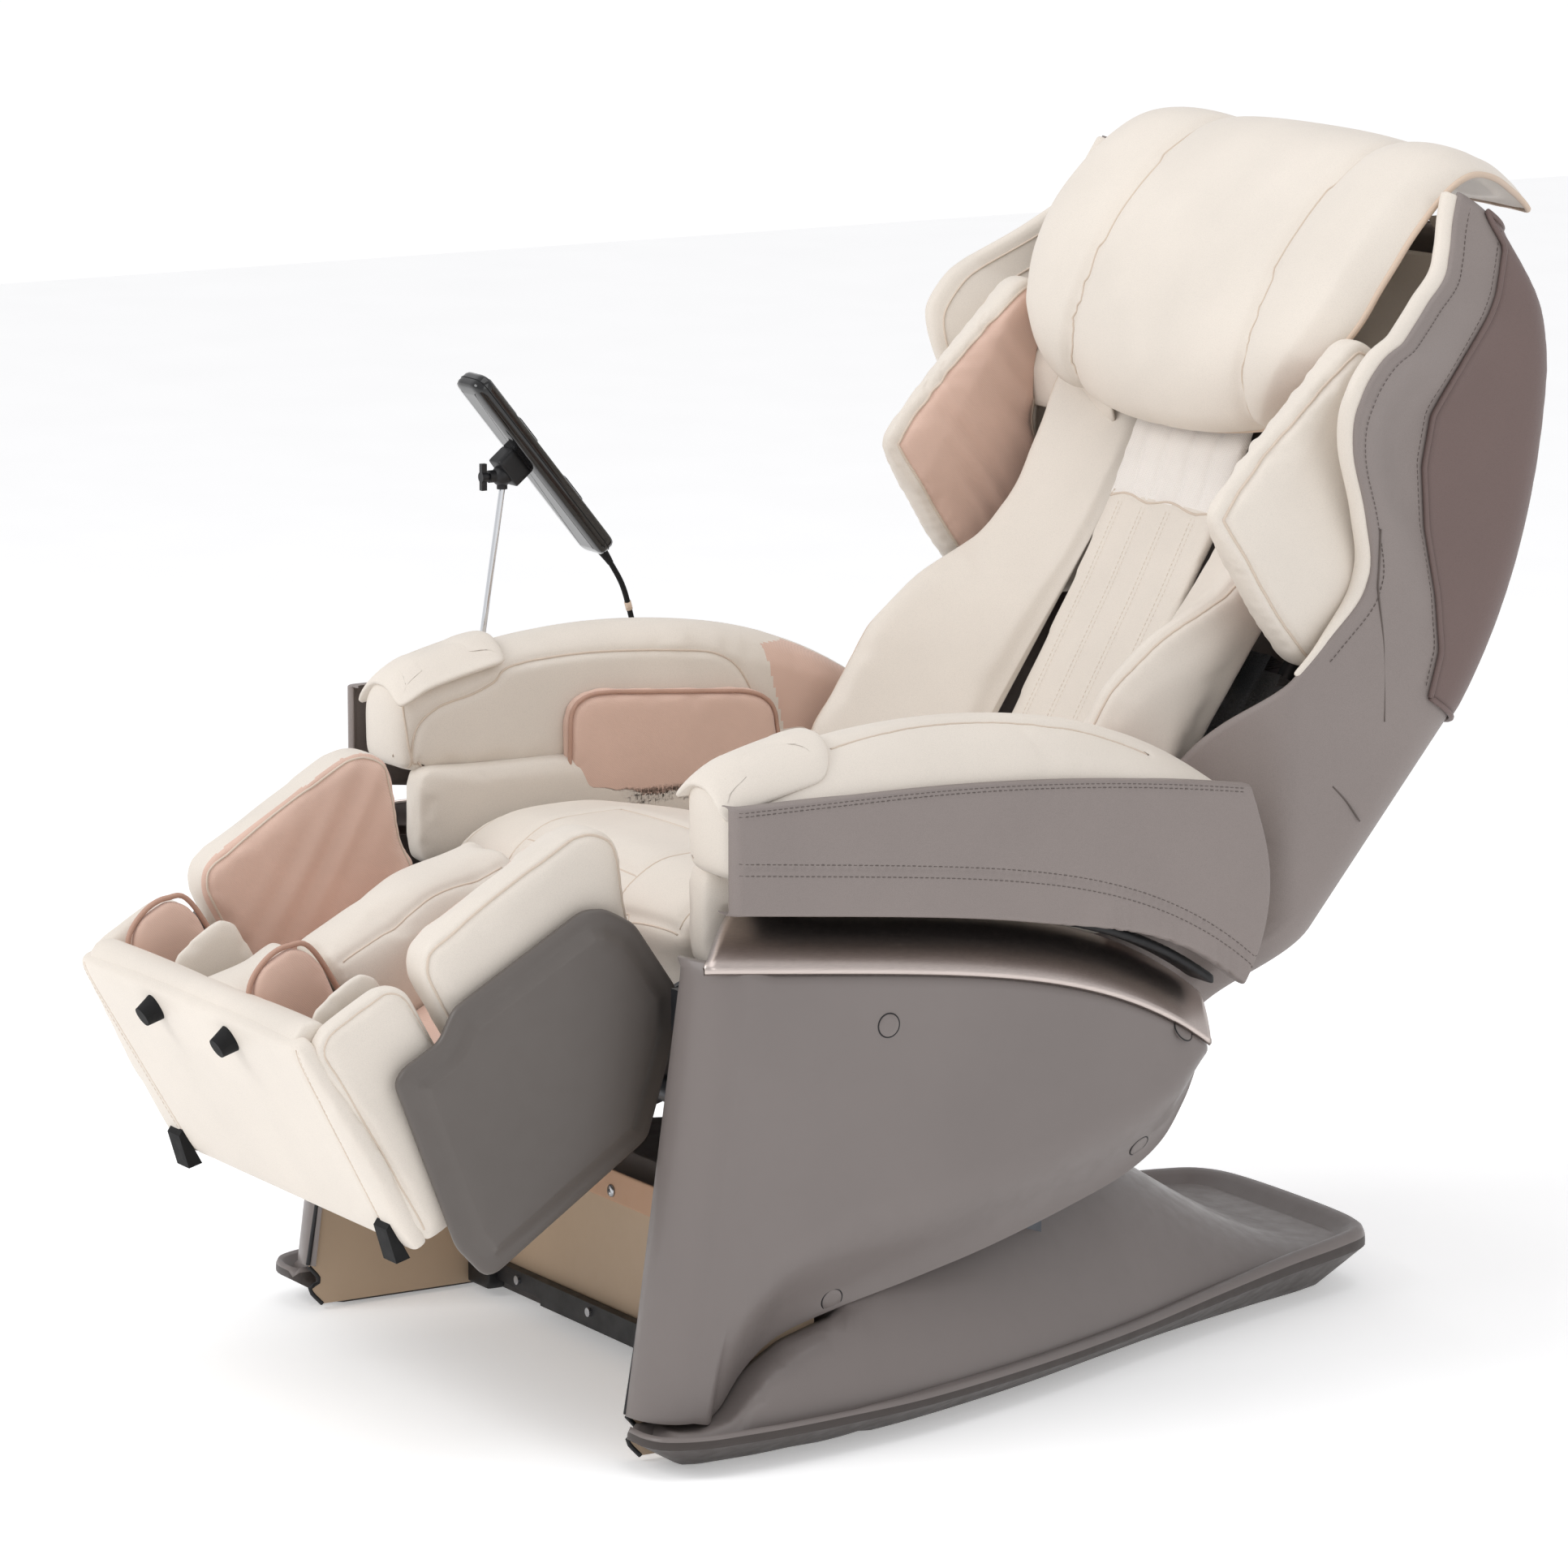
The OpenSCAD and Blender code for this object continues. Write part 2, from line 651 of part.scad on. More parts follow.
// The hose's route is in the legrest's frame
hose_route = [
    [30, -300, -62.5], [30, -300, -70], [32, -296, -84], [38, -284, -96], [46, -266, -101],
    [53, -248, -96], [58, -234, -82], [60, -226, -66], [60, -225, -54], [60, -225, -44]
];
module air_hose() { color(black) in_leg() tube(route(hose_route, 4), 5, 10); }

base_plate();
side_cover_left();
side_cover_right();
trim_left();
trim_right();
screw_caps();
front_cover();
front_rail();
frame_screws();
seat_frame();
seat_cushion();
arm_tracks();
air_pump();
power_box();
power_switch();
back_frame();
back_shell();
back_pad_left();
back_pad_right();
back_strip();
wing_left();
wing_right();
back_wrap_left();
back_wrap_right();
pillow_flap();
head_pillow();
carriage();
drive_axle();
knead_arm_left();
knead_arm_right();
roller_top_left();
roller_low_left();
roller_top_right();
roller_low_right();
back_actuator();
back_actuator_rod();
leg_actuator();
leg_actuator_rod();
armrest_left();
arm_pad_left();
hip_pad_left();
armrest_right();
arm_pad_right();
hip_pad_right();
leg_frame();
calf_pads();
leg_cover_left();
leg_cover_right();
foot_box();
foot_pads();
foot_slides();
foot_bumpers();
air_hose();
stand_rod();
stand_clamp();
clamp_knob();
remote();
key_upper();
key_lower();
remote_cord();
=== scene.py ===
import json
import math
import random

import bmesh
import bpy
import numpy as np
from mathutils import Vector
from mathutils.bvhtree import BVHTree
from mathutils.geometry import delaunay_2d_cdt
from mathutils.kdtree import KDTree
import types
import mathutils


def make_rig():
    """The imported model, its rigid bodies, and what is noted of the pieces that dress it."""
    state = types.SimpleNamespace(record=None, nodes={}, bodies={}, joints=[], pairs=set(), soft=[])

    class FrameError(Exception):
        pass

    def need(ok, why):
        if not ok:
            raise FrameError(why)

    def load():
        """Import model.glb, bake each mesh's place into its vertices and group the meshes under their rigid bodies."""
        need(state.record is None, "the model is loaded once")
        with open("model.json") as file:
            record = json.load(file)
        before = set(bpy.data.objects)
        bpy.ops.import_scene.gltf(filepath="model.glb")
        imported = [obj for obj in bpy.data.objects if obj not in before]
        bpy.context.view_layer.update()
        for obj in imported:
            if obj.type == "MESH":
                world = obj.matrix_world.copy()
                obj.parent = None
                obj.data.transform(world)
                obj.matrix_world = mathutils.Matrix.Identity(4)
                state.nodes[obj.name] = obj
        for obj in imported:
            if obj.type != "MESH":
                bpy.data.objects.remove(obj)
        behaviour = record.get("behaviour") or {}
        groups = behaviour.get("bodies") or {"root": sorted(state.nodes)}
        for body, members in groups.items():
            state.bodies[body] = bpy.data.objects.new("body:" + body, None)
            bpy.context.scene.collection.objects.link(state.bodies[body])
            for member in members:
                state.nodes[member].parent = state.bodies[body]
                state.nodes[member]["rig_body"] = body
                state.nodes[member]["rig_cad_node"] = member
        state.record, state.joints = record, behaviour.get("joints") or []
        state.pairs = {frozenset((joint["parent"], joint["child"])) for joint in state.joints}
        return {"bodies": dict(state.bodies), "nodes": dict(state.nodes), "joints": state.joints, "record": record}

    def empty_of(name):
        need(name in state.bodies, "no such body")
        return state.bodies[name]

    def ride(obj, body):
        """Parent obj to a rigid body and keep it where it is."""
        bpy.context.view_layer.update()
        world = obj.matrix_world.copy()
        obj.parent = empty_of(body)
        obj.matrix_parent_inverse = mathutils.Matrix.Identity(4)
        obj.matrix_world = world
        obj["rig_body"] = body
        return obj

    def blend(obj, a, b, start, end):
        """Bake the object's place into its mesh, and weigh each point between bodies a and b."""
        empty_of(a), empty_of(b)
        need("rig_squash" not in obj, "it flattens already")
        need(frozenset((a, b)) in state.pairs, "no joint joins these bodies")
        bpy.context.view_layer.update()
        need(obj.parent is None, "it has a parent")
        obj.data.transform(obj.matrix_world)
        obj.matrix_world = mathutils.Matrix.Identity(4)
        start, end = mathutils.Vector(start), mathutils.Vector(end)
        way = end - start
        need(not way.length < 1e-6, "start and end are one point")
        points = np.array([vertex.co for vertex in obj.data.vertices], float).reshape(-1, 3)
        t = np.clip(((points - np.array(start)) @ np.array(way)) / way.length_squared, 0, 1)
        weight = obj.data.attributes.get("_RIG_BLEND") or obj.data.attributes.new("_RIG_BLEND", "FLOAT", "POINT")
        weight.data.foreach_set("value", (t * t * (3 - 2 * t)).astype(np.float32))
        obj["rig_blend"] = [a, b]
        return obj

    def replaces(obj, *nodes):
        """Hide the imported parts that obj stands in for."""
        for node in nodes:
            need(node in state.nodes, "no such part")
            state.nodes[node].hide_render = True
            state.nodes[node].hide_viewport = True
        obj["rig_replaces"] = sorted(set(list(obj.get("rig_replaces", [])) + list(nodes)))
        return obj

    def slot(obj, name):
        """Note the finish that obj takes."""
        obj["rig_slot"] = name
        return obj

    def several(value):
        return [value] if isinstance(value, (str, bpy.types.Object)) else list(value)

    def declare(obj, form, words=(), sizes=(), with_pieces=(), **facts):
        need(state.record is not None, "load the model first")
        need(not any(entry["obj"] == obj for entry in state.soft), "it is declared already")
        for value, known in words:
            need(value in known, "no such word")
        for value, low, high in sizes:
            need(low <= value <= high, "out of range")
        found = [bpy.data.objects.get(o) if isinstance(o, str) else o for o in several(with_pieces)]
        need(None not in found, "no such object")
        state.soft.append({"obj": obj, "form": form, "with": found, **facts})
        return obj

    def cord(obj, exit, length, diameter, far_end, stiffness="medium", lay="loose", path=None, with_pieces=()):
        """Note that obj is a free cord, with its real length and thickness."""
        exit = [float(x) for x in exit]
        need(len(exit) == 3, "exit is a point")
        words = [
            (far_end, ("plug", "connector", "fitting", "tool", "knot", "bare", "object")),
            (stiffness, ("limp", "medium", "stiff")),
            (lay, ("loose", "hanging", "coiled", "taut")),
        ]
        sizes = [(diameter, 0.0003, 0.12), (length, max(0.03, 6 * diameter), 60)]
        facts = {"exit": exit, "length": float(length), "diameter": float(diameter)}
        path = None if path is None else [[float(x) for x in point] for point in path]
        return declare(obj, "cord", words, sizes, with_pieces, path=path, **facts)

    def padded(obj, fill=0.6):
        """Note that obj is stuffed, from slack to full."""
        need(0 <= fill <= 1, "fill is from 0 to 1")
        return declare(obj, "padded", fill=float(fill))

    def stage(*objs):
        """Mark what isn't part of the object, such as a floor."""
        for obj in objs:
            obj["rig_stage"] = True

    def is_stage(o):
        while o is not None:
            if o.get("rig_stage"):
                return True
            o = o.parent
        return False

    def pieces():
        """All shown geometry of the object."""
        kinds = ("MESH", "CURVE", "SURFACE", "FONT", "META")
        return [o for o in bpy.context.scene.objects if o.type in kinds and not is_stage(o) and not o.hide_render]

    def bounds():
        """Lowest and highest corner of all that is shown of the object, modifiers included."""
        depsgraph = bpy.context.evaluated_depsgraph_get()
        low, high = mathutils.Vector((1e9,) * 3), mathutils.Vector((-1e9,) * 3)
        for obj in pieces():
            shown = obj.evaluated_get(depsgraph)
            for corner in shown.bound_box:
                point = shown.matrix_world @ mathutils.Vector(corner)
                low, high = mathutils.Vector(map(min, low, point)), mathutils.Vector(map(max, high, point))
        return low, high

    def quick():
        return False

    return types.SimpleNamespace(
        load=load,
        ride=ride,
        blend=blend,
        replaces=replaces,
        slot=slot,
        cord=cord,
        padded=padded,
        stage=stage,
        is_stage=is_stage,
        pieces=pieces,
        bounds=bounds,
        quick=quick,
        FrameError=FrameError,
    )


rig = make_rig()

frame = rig.load()
cad_box = [list(corner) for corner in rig.bounds()]
random.seed(7)

# ---- places: millimetres in a sub-frame to metres in the shared frame ----------

BACK_TILT = math.radians(33)
BACK_HINGE = np.array([0, 160, 420])
LEG_TILT = math.radians(29)
KNEE = np.array([0, -370, 460])
REMOTE_TILT = math.radians(39)
REMOTE_AT = np.array([-424, -141, 912])
SIDES = {"left": 1, "right": -1}


def turned(points, angle, origin):
    """Points turned about X, then moved to origin."""
    p = np.asarray(points, float).reshape(-1, 3)
    c, s = math.cos(angle), math.sin(angle)
    out = np.column_stack([p[:, 0], p[:, 1] * c - p[:, 2] * s, p[:, 1] * s + p[:, 2] * c])
    return (out + origin) / 1000


def world(points):
    return np.asarray(points, float).reshape(-1, 3) / 1000


def back(points):
    return turned(points, -BACK_TILT, BACK_HINGE)


def leg(points):
    return turned(points, LEG_TILT, KNEE)


def remote(points):
    return turned(points, REMOTE_TILT, REMOTE_AT)


def cover_top(y):
    return 526 - 0.11 * (y + 413) - 85 * (max(0, y + 413) / 625) ** 5


def trim_top(y):
    return cover_top(y - 25) + 42


def arm_under(y):
    return trim_top(y) + 25


def arm_side_top(y):
    return 686 - 34 * (max(0, y + 200) / 432) ** 2


def arm_crown(y):
    return 750 - 0.0006 * (y + 110) ** 2 - 30 * (max(0, y) / 250) ** 3


def back_rear(z):
    return 203 - 0.0008 * (z - 450) ** 2 if z > 450 else 203 - 0.12 * (450 - z)


def ease(a, b, x):
    """Smooth step from 0 at a to 1 at b."""
    t = np.clip((np.asarray(x, float) - a) / (b - a), 0, 1)
    return t * t * (3 - 2 * t)


# ---- curves ------------------------------------------------------------------


def smooth_line(points, step, closed=False):
    """A Catmull-Rom line through the points, resampled to even steps."""
    p = np.asarray(points, float)
    n = len(p)
    spans = n if closed else n - 1
    dense = []
    for i in range(spans):
        if closed:
            a, b, c, d = p[(i - 1) % n], p[i], p[(i + 1) % n], p[(i + 2) % n]
        else:
            a, b, c, d = p[max(i - 1, 0)], p[i], p[i + 1], p[min(i + 2, n - 1)]
        for t in np.linspace(0, 1, 17)[:-1]:
            dense.append(
                0.5 * (2 * b + (c - a) * t + (2 * a - 5 * b + 4 * c - d) * t * t
                    + (3 * b - a - 3 * c + d) * t**3)
            )
    dense.append(p[0] if closed else p[-1])
    return even(np.array(dense), step, closed)


def even(line, step, closed=False):
    """The line cut into equal steps; a closed one gives each point once."""
    gaps = np.linalg.norm(np.diff(line, axis=0), axis=1)
    along = np.concatenate([[0], np.cumsum(gaps)])
    count = max(2, round(along[-1] / step))
    at = np.linspace(0, along[-1], count + 1)
    out = np.column_stack([np.interp(at, along, line[:, k]) for k in range(line.shape[1])])
    return out[:-1] if closed else out


def rounded(points, radius, step=4):
    """A closed outline with its corners rounded."""
    p = np.asarray(points, float)
    out = []
    for i in range(len(p)):
        a, b, c = p[i - 1], p[i], p[(i + 1) % len(p)]
        ra = min(radius, 0.45 * np.linalg.norm(a - b))
        rc = min(radius, 0.45 * np.linalg.norm(c - b))
        s = b + (a - b) / np.linalg.norm(a - b) * ra
        e = b + (c - b) / np.linalg.norm(c - b) * rc
        for t in np.linspace(0, 1, 7):
            out.append((1 - t) ** 2 * s + 2 * t * (1 - t) * b + t * t * e)
    out.append(out[0])
    return even(np.array(out), step, True)


def inset(outline, distance):
    """A closed outline moved inwards."""
    p = np.asarray(outline, float)
    t = np.roll(p, -1, 0) - np.roll(p, 1, 0)
    t /= np.linalg.norm(t, axis=1)[:, None]
    area = 0.5 * np.sum(p[:, 0] * np.roll(p[:, 1], -1) - np.roll(p[:, 0], -1) * p[:, 1])
    n = np.column_stack([-t[:, 1], t[:, 0]]) * (1 if area > 0 else -1)
    return p + n * distance


# ---- meshes ------------------------------------------------------------------


def add_mesh(name, points, faces, smooth=True):
    mesh = bpy.data.meshes.new(name)
    mesh.from_pydata([tuple(p) for p in points], [], [tuple(int(i) for i in f) for f in faces])
    mesh.validate()
    if smooth:
        mesh.shade_smooth()
    obj = bpy.data.objects.new(name, mesh)
    bpy.context.scene.collection.objects.link(obj)
    return obj


def coords(obj):
    co = np.empty(len(obj.data.vertices) * 3)
    obj.data.vertices.foreach_get("co", co)
    return co.reshape(-1, 3)


def set_coords(obj, co):
    obj.data.vertices.foreach_set("co", np.asarray(co, float).ravel())
    obj.data.update()


def normals(obj):
    out = np.empty(len(obj.data.vertices) * 3)
    obj.data.vertex_normals.foreach_get("vector", out)
    return out.reshape(-1, 3)


def baked(obj):
    """Applies every modifier of the object."""
    graph = bpy.context.evaluated_depsgraph_get()
    graph.update()
    mesh = bpy.data.meshes.new_from_object(obj.evaluated_get(graph))
    obj.modifiers.clear()
    old, obj.data = obj.data, mesh
    bpy.data.meshes.remove(old)
    mesh.shade_smooth()
    return obj


def ring_faces(k, n):
    """The faces between ring k and the next one, of n points each."""
    return [[k * n + i, k * n + (i + 1) % n, (k + 1) * n + (i + 1) % n, (k + 1) * n + i] for i in range(n)]


def outward(obj):
    bm = bmesh.new()
    bm.from_mesh(obj.data)
    bmesh.ops.recalc_face_normals(bm, faces=bm.faces)
    bm.to_mesh(obj.data)
    bm.free()
    return obj


def relax(obj, rounds, share=0.5):
    """Rounds a mesh off by moving each point towards its neighbours' middle."""
    edges = np.empty(len(obj.data.edges) * 2, int)
    obj.data.edges.foreach_get("vertices", edges)
    edges = edges.reshape(-1, 2)
    co = coords(obj)
    count = np.bincount(edges.ravel(), minlength=len(co))[:, None]
    for _ in range(rounds):
        total = np.zeros_like(co)
        np.add.at(total, edges[:, 0], co[edges[:, 1]])
        np.add.at(total, edges[:, 1], co[edges[:, 0]])
        co = co + share * (total / count - co)
    set_coords(obj, co)
    return obj


def prism(name, outline, low, high, plane="yz"):
    """A flat outline made solid along X (plane yz) or along Y (plane xz), in its own frame, in metres."""
    n = len(outline)
    if plane == "yz":
        points = [(x, a, b) for x in (low, high) for a, b in outline]
    else:
        points = [(a, y, b) for y in (low, high) for a, b in outline]
    faces = [[i, (i + 1) % n, n + (i + 1) % n, n + i] for i in range(n)]
    faces += [list(range(n))[::-1], list(range(n, 2 * n))]
    return outward(add_mesh(name, np.array(points) / 1000, faces))


def puff(obj, cap, pressure=4.0):
    """Cloth with air pressure, each point moved by at most cap."""
    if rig.quick() or cap <= 0:
        return obj
    start = coords(obj)
    cloth = obj.modifiers.new("Cloth", "CLOTH")
    cloth.settings.quality = 4
    cloth.settings.use_pressure = True
    cloth.settings.uniform_pressure_force = pressure
    cloth.settings.effector_weights.gravity = 0
    cloth.point_cache.frame_start = 1
    cloth.point_cache.frame_end = 20
    scene = bpy.context.scene
    for f in range(1, 21):
        scene.frame_set(f)
    baked(obj)
    scene.frame_set(1)
    move = coords(obj) - start
    size = np.linalg.norm(move, axis=1)[:, None]
    set_coords(obj, start + move * (cap / 1000 / np.maximum(size, 1e-9)) * np.tanh(size / (cap / 1000)))
    return obj


def refine(obj):
    obj.modifiers.new("Sub", "SUBSURF").levels = 1
    return baked(obj)


def soft(name, outline, low, high, place, plane="yz", voxel=7, rounds=8, warp=None, cap=7, fine=True):
    """A crowned pad: remeshed, rounded, bent by warp in its own frame, then swelled with air."""
    obj = prism(name, outline, low, high, plane)
    remesh = obj.modifiers.new("Remesh", "REMESH")
    remesh.mode = "VOXEL"
    remesh.voxel_size = voxel / 1000
    baked(obj)
    relax(obj, rounds)
    p = coords(obj) * 1000
    if warp:
        p = warp(p)
    set_coords(obj, place(p))
    puff(obj, cap)
    if fine:
        refine(obj)
    return outward(obj)


def groove(obj, lines, depth, width):
    """Presses sewn lines into a pad."""
    samples = np.vstack(lines)
    tree = KDTree(len(samples))
    for i, p in enumerate(samples):
        tree.insert(p, i)
    tree.balance()
    co, n = coords(obj), normals(obj)
    far = np.array([tree.find(p)[2] for p in co]) * 1000
    set_coords(obj, co - n * (depth / 1000 * np.exp(-((far / width) ** 2)))[:, None])
    return obj


def folds(obj, inside, direction, pitch, depth, seed=0):
    """Loose wrinkles over part of a pad: ridges across a direction, uneven in pitch and depth."""
    co, n = coords(obj), normals(obj)
    d = np.asarray(direction, float)
    d /= np.linalg.norm(d)
    side = np.cross(d, [0.3, 0.2, 0.9])
    side /= np.linalg.norm(side)
    s, t = co @ d * 1000 / pitch, co @ side * 1000 / pitch
    ridge = np.sin(2 * math.pi * (s + 0.35 * np.sin(1.3 * t + seed)) + 1.7 * np.sin(0.7 * s + seed))
    ridge = ridge * (0.55 + 0.45 * np.sin(0.9 * t + 2.1 * s + seed))
    set_coords(obj, co + n * (inside(co, n) * ridge * depth / 1000)[:, None])
    return obj


def surface(obj):
    mesh = obj.data
    return BVHTree.FromPolygons([v.co for v in mesh.vertices], [p.vertices for p in mesh.polygons])


def laid(tree, points, direction):
    """Points dropped onto a surface along a direction; those that miss go to the nearest place."""
    d = Vector(direction).normalized()
    out, up = [], []
    for p in points:
        hit, n, _, _ = tree.ray_cast(Vector(p) - d * 0.12, d, 0.24)
        if hit is None:
            hit, n, _, _ = tree.find_nearest(Vector(p))
        out.append(hit)
        up.append(-n if n.dot(d) > 0.3 else n)
    return np.array(out), np.array(up)


def ring_frames(line, closed=False):
    """Two directions square to the line at each point, without twist."""
    t = np.roll(line, -1, 0) - np.roll(line, 1, 0) if closed else np.gradient(line, axis=0)
    t /= np.maximum(np.linalg.norm(t, axis=1), 1e-12)[:, None]
    u = np.cross(t[0], [0.31, 0.27, 0.91])
    us = []
    for k in range(len(line)):
        u = u - t[k] * (u @ t[k])
        u /= np.linalg.norm(u)
        us.append(u)
    us = np.array(us)
    return us, np.cross(t, us)


def tube_data(line, radius, sides=8, closed=False):
    """Points and faces of a round tube along a line, its radius a number or one for each point."""
    u, v = ring_frames(line, closed)
    r = np.broadcast_to(radius, len(line))
    a = np.arange(sides) * 2 * math.pi / sides
    points = np.vstack([line[k] + r[k] * (np.outer(np.cos(a), u[k]) + np.outer(np.sin(a), v[k]))
        for k in range(len(line))])
    n = len(line)
    faces = []
    for k in range(n if closed else n - 1):
        b, c = k * sides, (k + 1) % n * sides
        faces += [[b + j, b + (j + 1) % sides, c + (j + 1) % sides, c + j] for j in range(sides)]
    if not closed:
        faces += [list(range(sides))[::-1], [(n - 1) * sides + j for j in range(sides)]]
    return points, faces


def joined(name, parts):
    """One mesh from several (points, faces)."""
    points, faces, base = [], [], 0
    for p, f in parts:
        points.append(p)
        faces += [[base + i for i in face] for face in f]
        base += len(p)
    return add_mesh(name, np.vstack(points), faces)


def tube(name, line, radius, sides=8, closed=False):
    return outward(joined(name, [tube_data(np.asarray(line), radius, sides, closed)]))


def stitches(name, lines, pitch=6.0, size=0.55):
    """Rows of short raised threads along lines that lie on a surface."""
    parts = []
    for line in lines:
        dots = even(np.asarray(line), pitch / 1000)
        for a, b in zip(dots[:-1], dots[1:]):
            s, e = a + 0.16 * (b - a), a + 0.84 * (b - a)
            dash = np.array([s, s + 0.15 * (e - s), e - 0.15 * (e - s), e])
            parts.append(tube_data(dash, np.array([0.3, 1, 1, 0.3]) * size / 1000, 5))
    return joined(name, parts)


def strip_of(rows, name, closed_rows=False):
    """A closed shell between two grids: rows is (outer grid, inner grid), each rows x columns x 3."""
    outer, inner = (np.asarray(g) for g in rows)
    m, n, _ = outer.shape
    points = np.vstack([outer.reshape(-1, 3), inner.reshape(-1, 3)])
    k = m * n
    faces = []
    for i in range(m - 1):
        for j in range(n - 1):
            a, b, c, d = i * n + j, i * n + j + 1, (i + 1) * n + j + 1, (i + 1) * n + j
            faces += [[a, b, c, d], [k + d, k + c, k + b, k + a]]
    rim = [j for j in range(n)] + [i * n + n - 1 for i in range(1, m)]
    rim += [(m - 1) * n + j for j in range(n - 2, -1, -1)] + [i * n for i in range(m - 2, 0, -1)]
    for a, b in zip(rim, rim[1:] + rim[:1]):
        faces.append([b, a, k + a, k + b])
    return outward(add_mesh(name, points, faces))


def inside_of(outline):
    """A test for points inside a closed outline."""
    edge = np.asarray(outline)
    nxt = np.roll(edge, -1, 0)

    def test(a, b):
        hits = np.zeros(len(a), int)
        for (x0, y0), (x1, y1) in zip(edge, nxt):
            if y0 != y1:
                hits += ((y0 > b) != (y1 > b)) & (a < (x1 - x0) * (b - y0) / (y1 - y0) + x0)
        return hits % 2 == 1

    return test


def rim_distance(points, outline):
    """How far each point lies from a closed outline."""
    a, b = np.asarray(outline), np.roll(outline, -1, 0)
    ab = b - a
    best = np.full(len(points), 1e9)
    for p0, d in zip(a, ab):
        t = np.clip(((points - p0) @ d) / max(d @ d, 1e-12), 0, 1)
        best = np.minimum(best, np.linalg.norm(points - p0 - t[:, None] * d, axis=1))
    return best


def relief(name, outline, low, high, insets, pitch, to_place):
    """A closed shell over a flat outline. low and high give its two faces from (points, rim distance)."""
    outline = np.asarray(outline, float)
    sets = [outline]
    for d in insets:
        ring = inset(outline, d)
        far = rim_distance(ring, outline)
        sets.append(ring[(far > 0.93 * d) & inside_of(outline)(ring[:, 0], ring[:, 1])])
    lo, hi = outline.min(0), outline.max(0)
    gx, gy = np.meshgrid(np.arange(lo[0], hi[0], pitch), np.arange(lo[1], hi[1], pitch))
    grid = np.column_stack([gx.ravel(), gy.ravel()])
    grid = grid[inside_of(outline)(grid[:, 0], grid[:, 1])]
    sets.append(grid[rim_distance(grid, outline) > insets[-1] + pitch * 0.5])
    n = len(outline)
    flat = np.vstack(sets)
    found = delaunay_2d_cdt([Vector(p) for p in flat], [(i, (i + 1) % n) for i in range(n)], [], 1, 1e-4)
    plan, triangles = np.array([tuple(v) for v in found[0]]), found[2]
    d = rim_distance(plan, outline)
    inside = d < 1e-3
    d[inside] = 0
    points = np.vstack([to_place(np.column_stack([plan, high(plan, d)])),
        to_place(np.column_stack([plan, low(plan, d)]))])
    k = len(plan)
    faces = [list(t) for t in triangles] + [[k + i for i in t][::-1] for t in triangles]
    edges = {}
    for t in triangles:
        for a, b in zip(t, list(t[1:]) + [t[0]]):
            edges[(a, b)] = edges.get((a, b), 0) + 1
    faces += [[b, a, k + a, k + b] for a, b in edges if (b, a) not in edges]
    return outward(add_mesh(name, points, faces))


# ---- materials -----------------------------------------------------------------


def linear(rgb):
    return [((c / 255 + 0.055) / 1.055) ** 2.4 if c > 10 else c / 255 / 12.92 for c in rgb]


def node_kit(name):
    mat = bpy.data.materials.new(name)
    mat.use_nodes = True
    tree = mat.node_tree
    shader = tree.nodes["Principled BSDF"]
    at = tree.nodes.new("ShaderNodeTexCoord")

    def add(kind, **values):
        node = tree.nodes.new(kind)
        for key, value in values.items():
            if key in node.inputs:
                node.inputs[key].default_value = value
            else:
                setattr(node, key, value)
        return node

    return mat, tree.links.new, shader, at.outputs["Object"], add


def shades(add, link, source, stops):
    """A colour ramp of (place, colour)."""
    ramp = add("ShaderNodeValToRGB")
    cells = ramp.color_ramp.elements
    while len(cells) < len(stops):
        cells.new(0.5)
    for cell, (place, rgb) in zip(cells, stops):
        cell.position = place
        cell.color = [*rgb, 1]
    link(source, ramp.inputs["Fac"])
    return ramp.outputs["Color"]


def tone(rgb, k):
    return [min(1, c * k) for c in rgb]


def leather(name, rgb, rough=0.5, grain=900, bump=0.12, sheen=0.08, spread=0.05):
    """Fine pebbled leather: cells for the grain, slow patches in colour and in gloss."""
    mat, link, shader, at, add = node_kit(name)
    base = linear(rgb)
    patch = add("ShaderNodeTexNoise", Scale=7.0, Detail=5.0)
    link(at, patch.inputs["Vector"])
    colour = shades(add, link, patch.outputs["Fac"],
        [(0.3, tone(base, 1 - spread)), (0.7, tone(base, 1 + spread / 2))])
    cells = add("ShaderNodeTexVoronoi", Scale=grain, feature="DISTANCE_TO_EDGE")
    link(at, cells.inputs["Vector"])
    crease = add("ShaderNodeMapRange")
    crease.inputs["From Max"].default_value = 0.22
    link(cells.outputs["Distance"], crease.inputs["Value"])
    dim = add("ShaderNodeMix", data_type="RGBA", blend_type="MULTIPLY")
    dim.inputs["Factor"].default_value = 0.1
    link(colour, dim.inputs["A"])
    link(crease.outputs["Result"], dim.inputs["B"])
    link(dim.outputs["Result"], shader.inputs["Base Color"])
    gloss = add("ShaderNodeMapRange")
    gloss.inputs["To Min"].default_value = rough - 0.05
    gloss.inputs["To Max"].default_value = rough + 0.07
    link(patch.outputs["Fac"], gloss.inputs["Value"])
    link(gloss.outputs["Result"], shader.inputs["Roughness"])
    slack = add("ShaderNodeTexNoise", Scale=22.0, Detail=3.0)
    link(at, slack.inputs["Vector"])
    low = add("ShaderNodeBump", Strength=0.1, Distance=0.004)
    link(slack.outputs["Fac"], low.inputs["Height"])
    fine = add("ShaderNodeBump", Strength=bump, Distance=0.0004)
    link(crease.outputs["Result"], fine.inputs["Height"])
    link(low.outputs["Normal"], fine.inputs["Normal"])
    link(fine.outputs["Normal"], shader.inputs["Normal"])
    shader.inputs["Sheen Weight"].default_value = sheen
    shader.inputs["Sheen Roughness"].default_value = 0.5
    shader.inputs["Specular IOR Level"].default_value = 0.38
    return mat


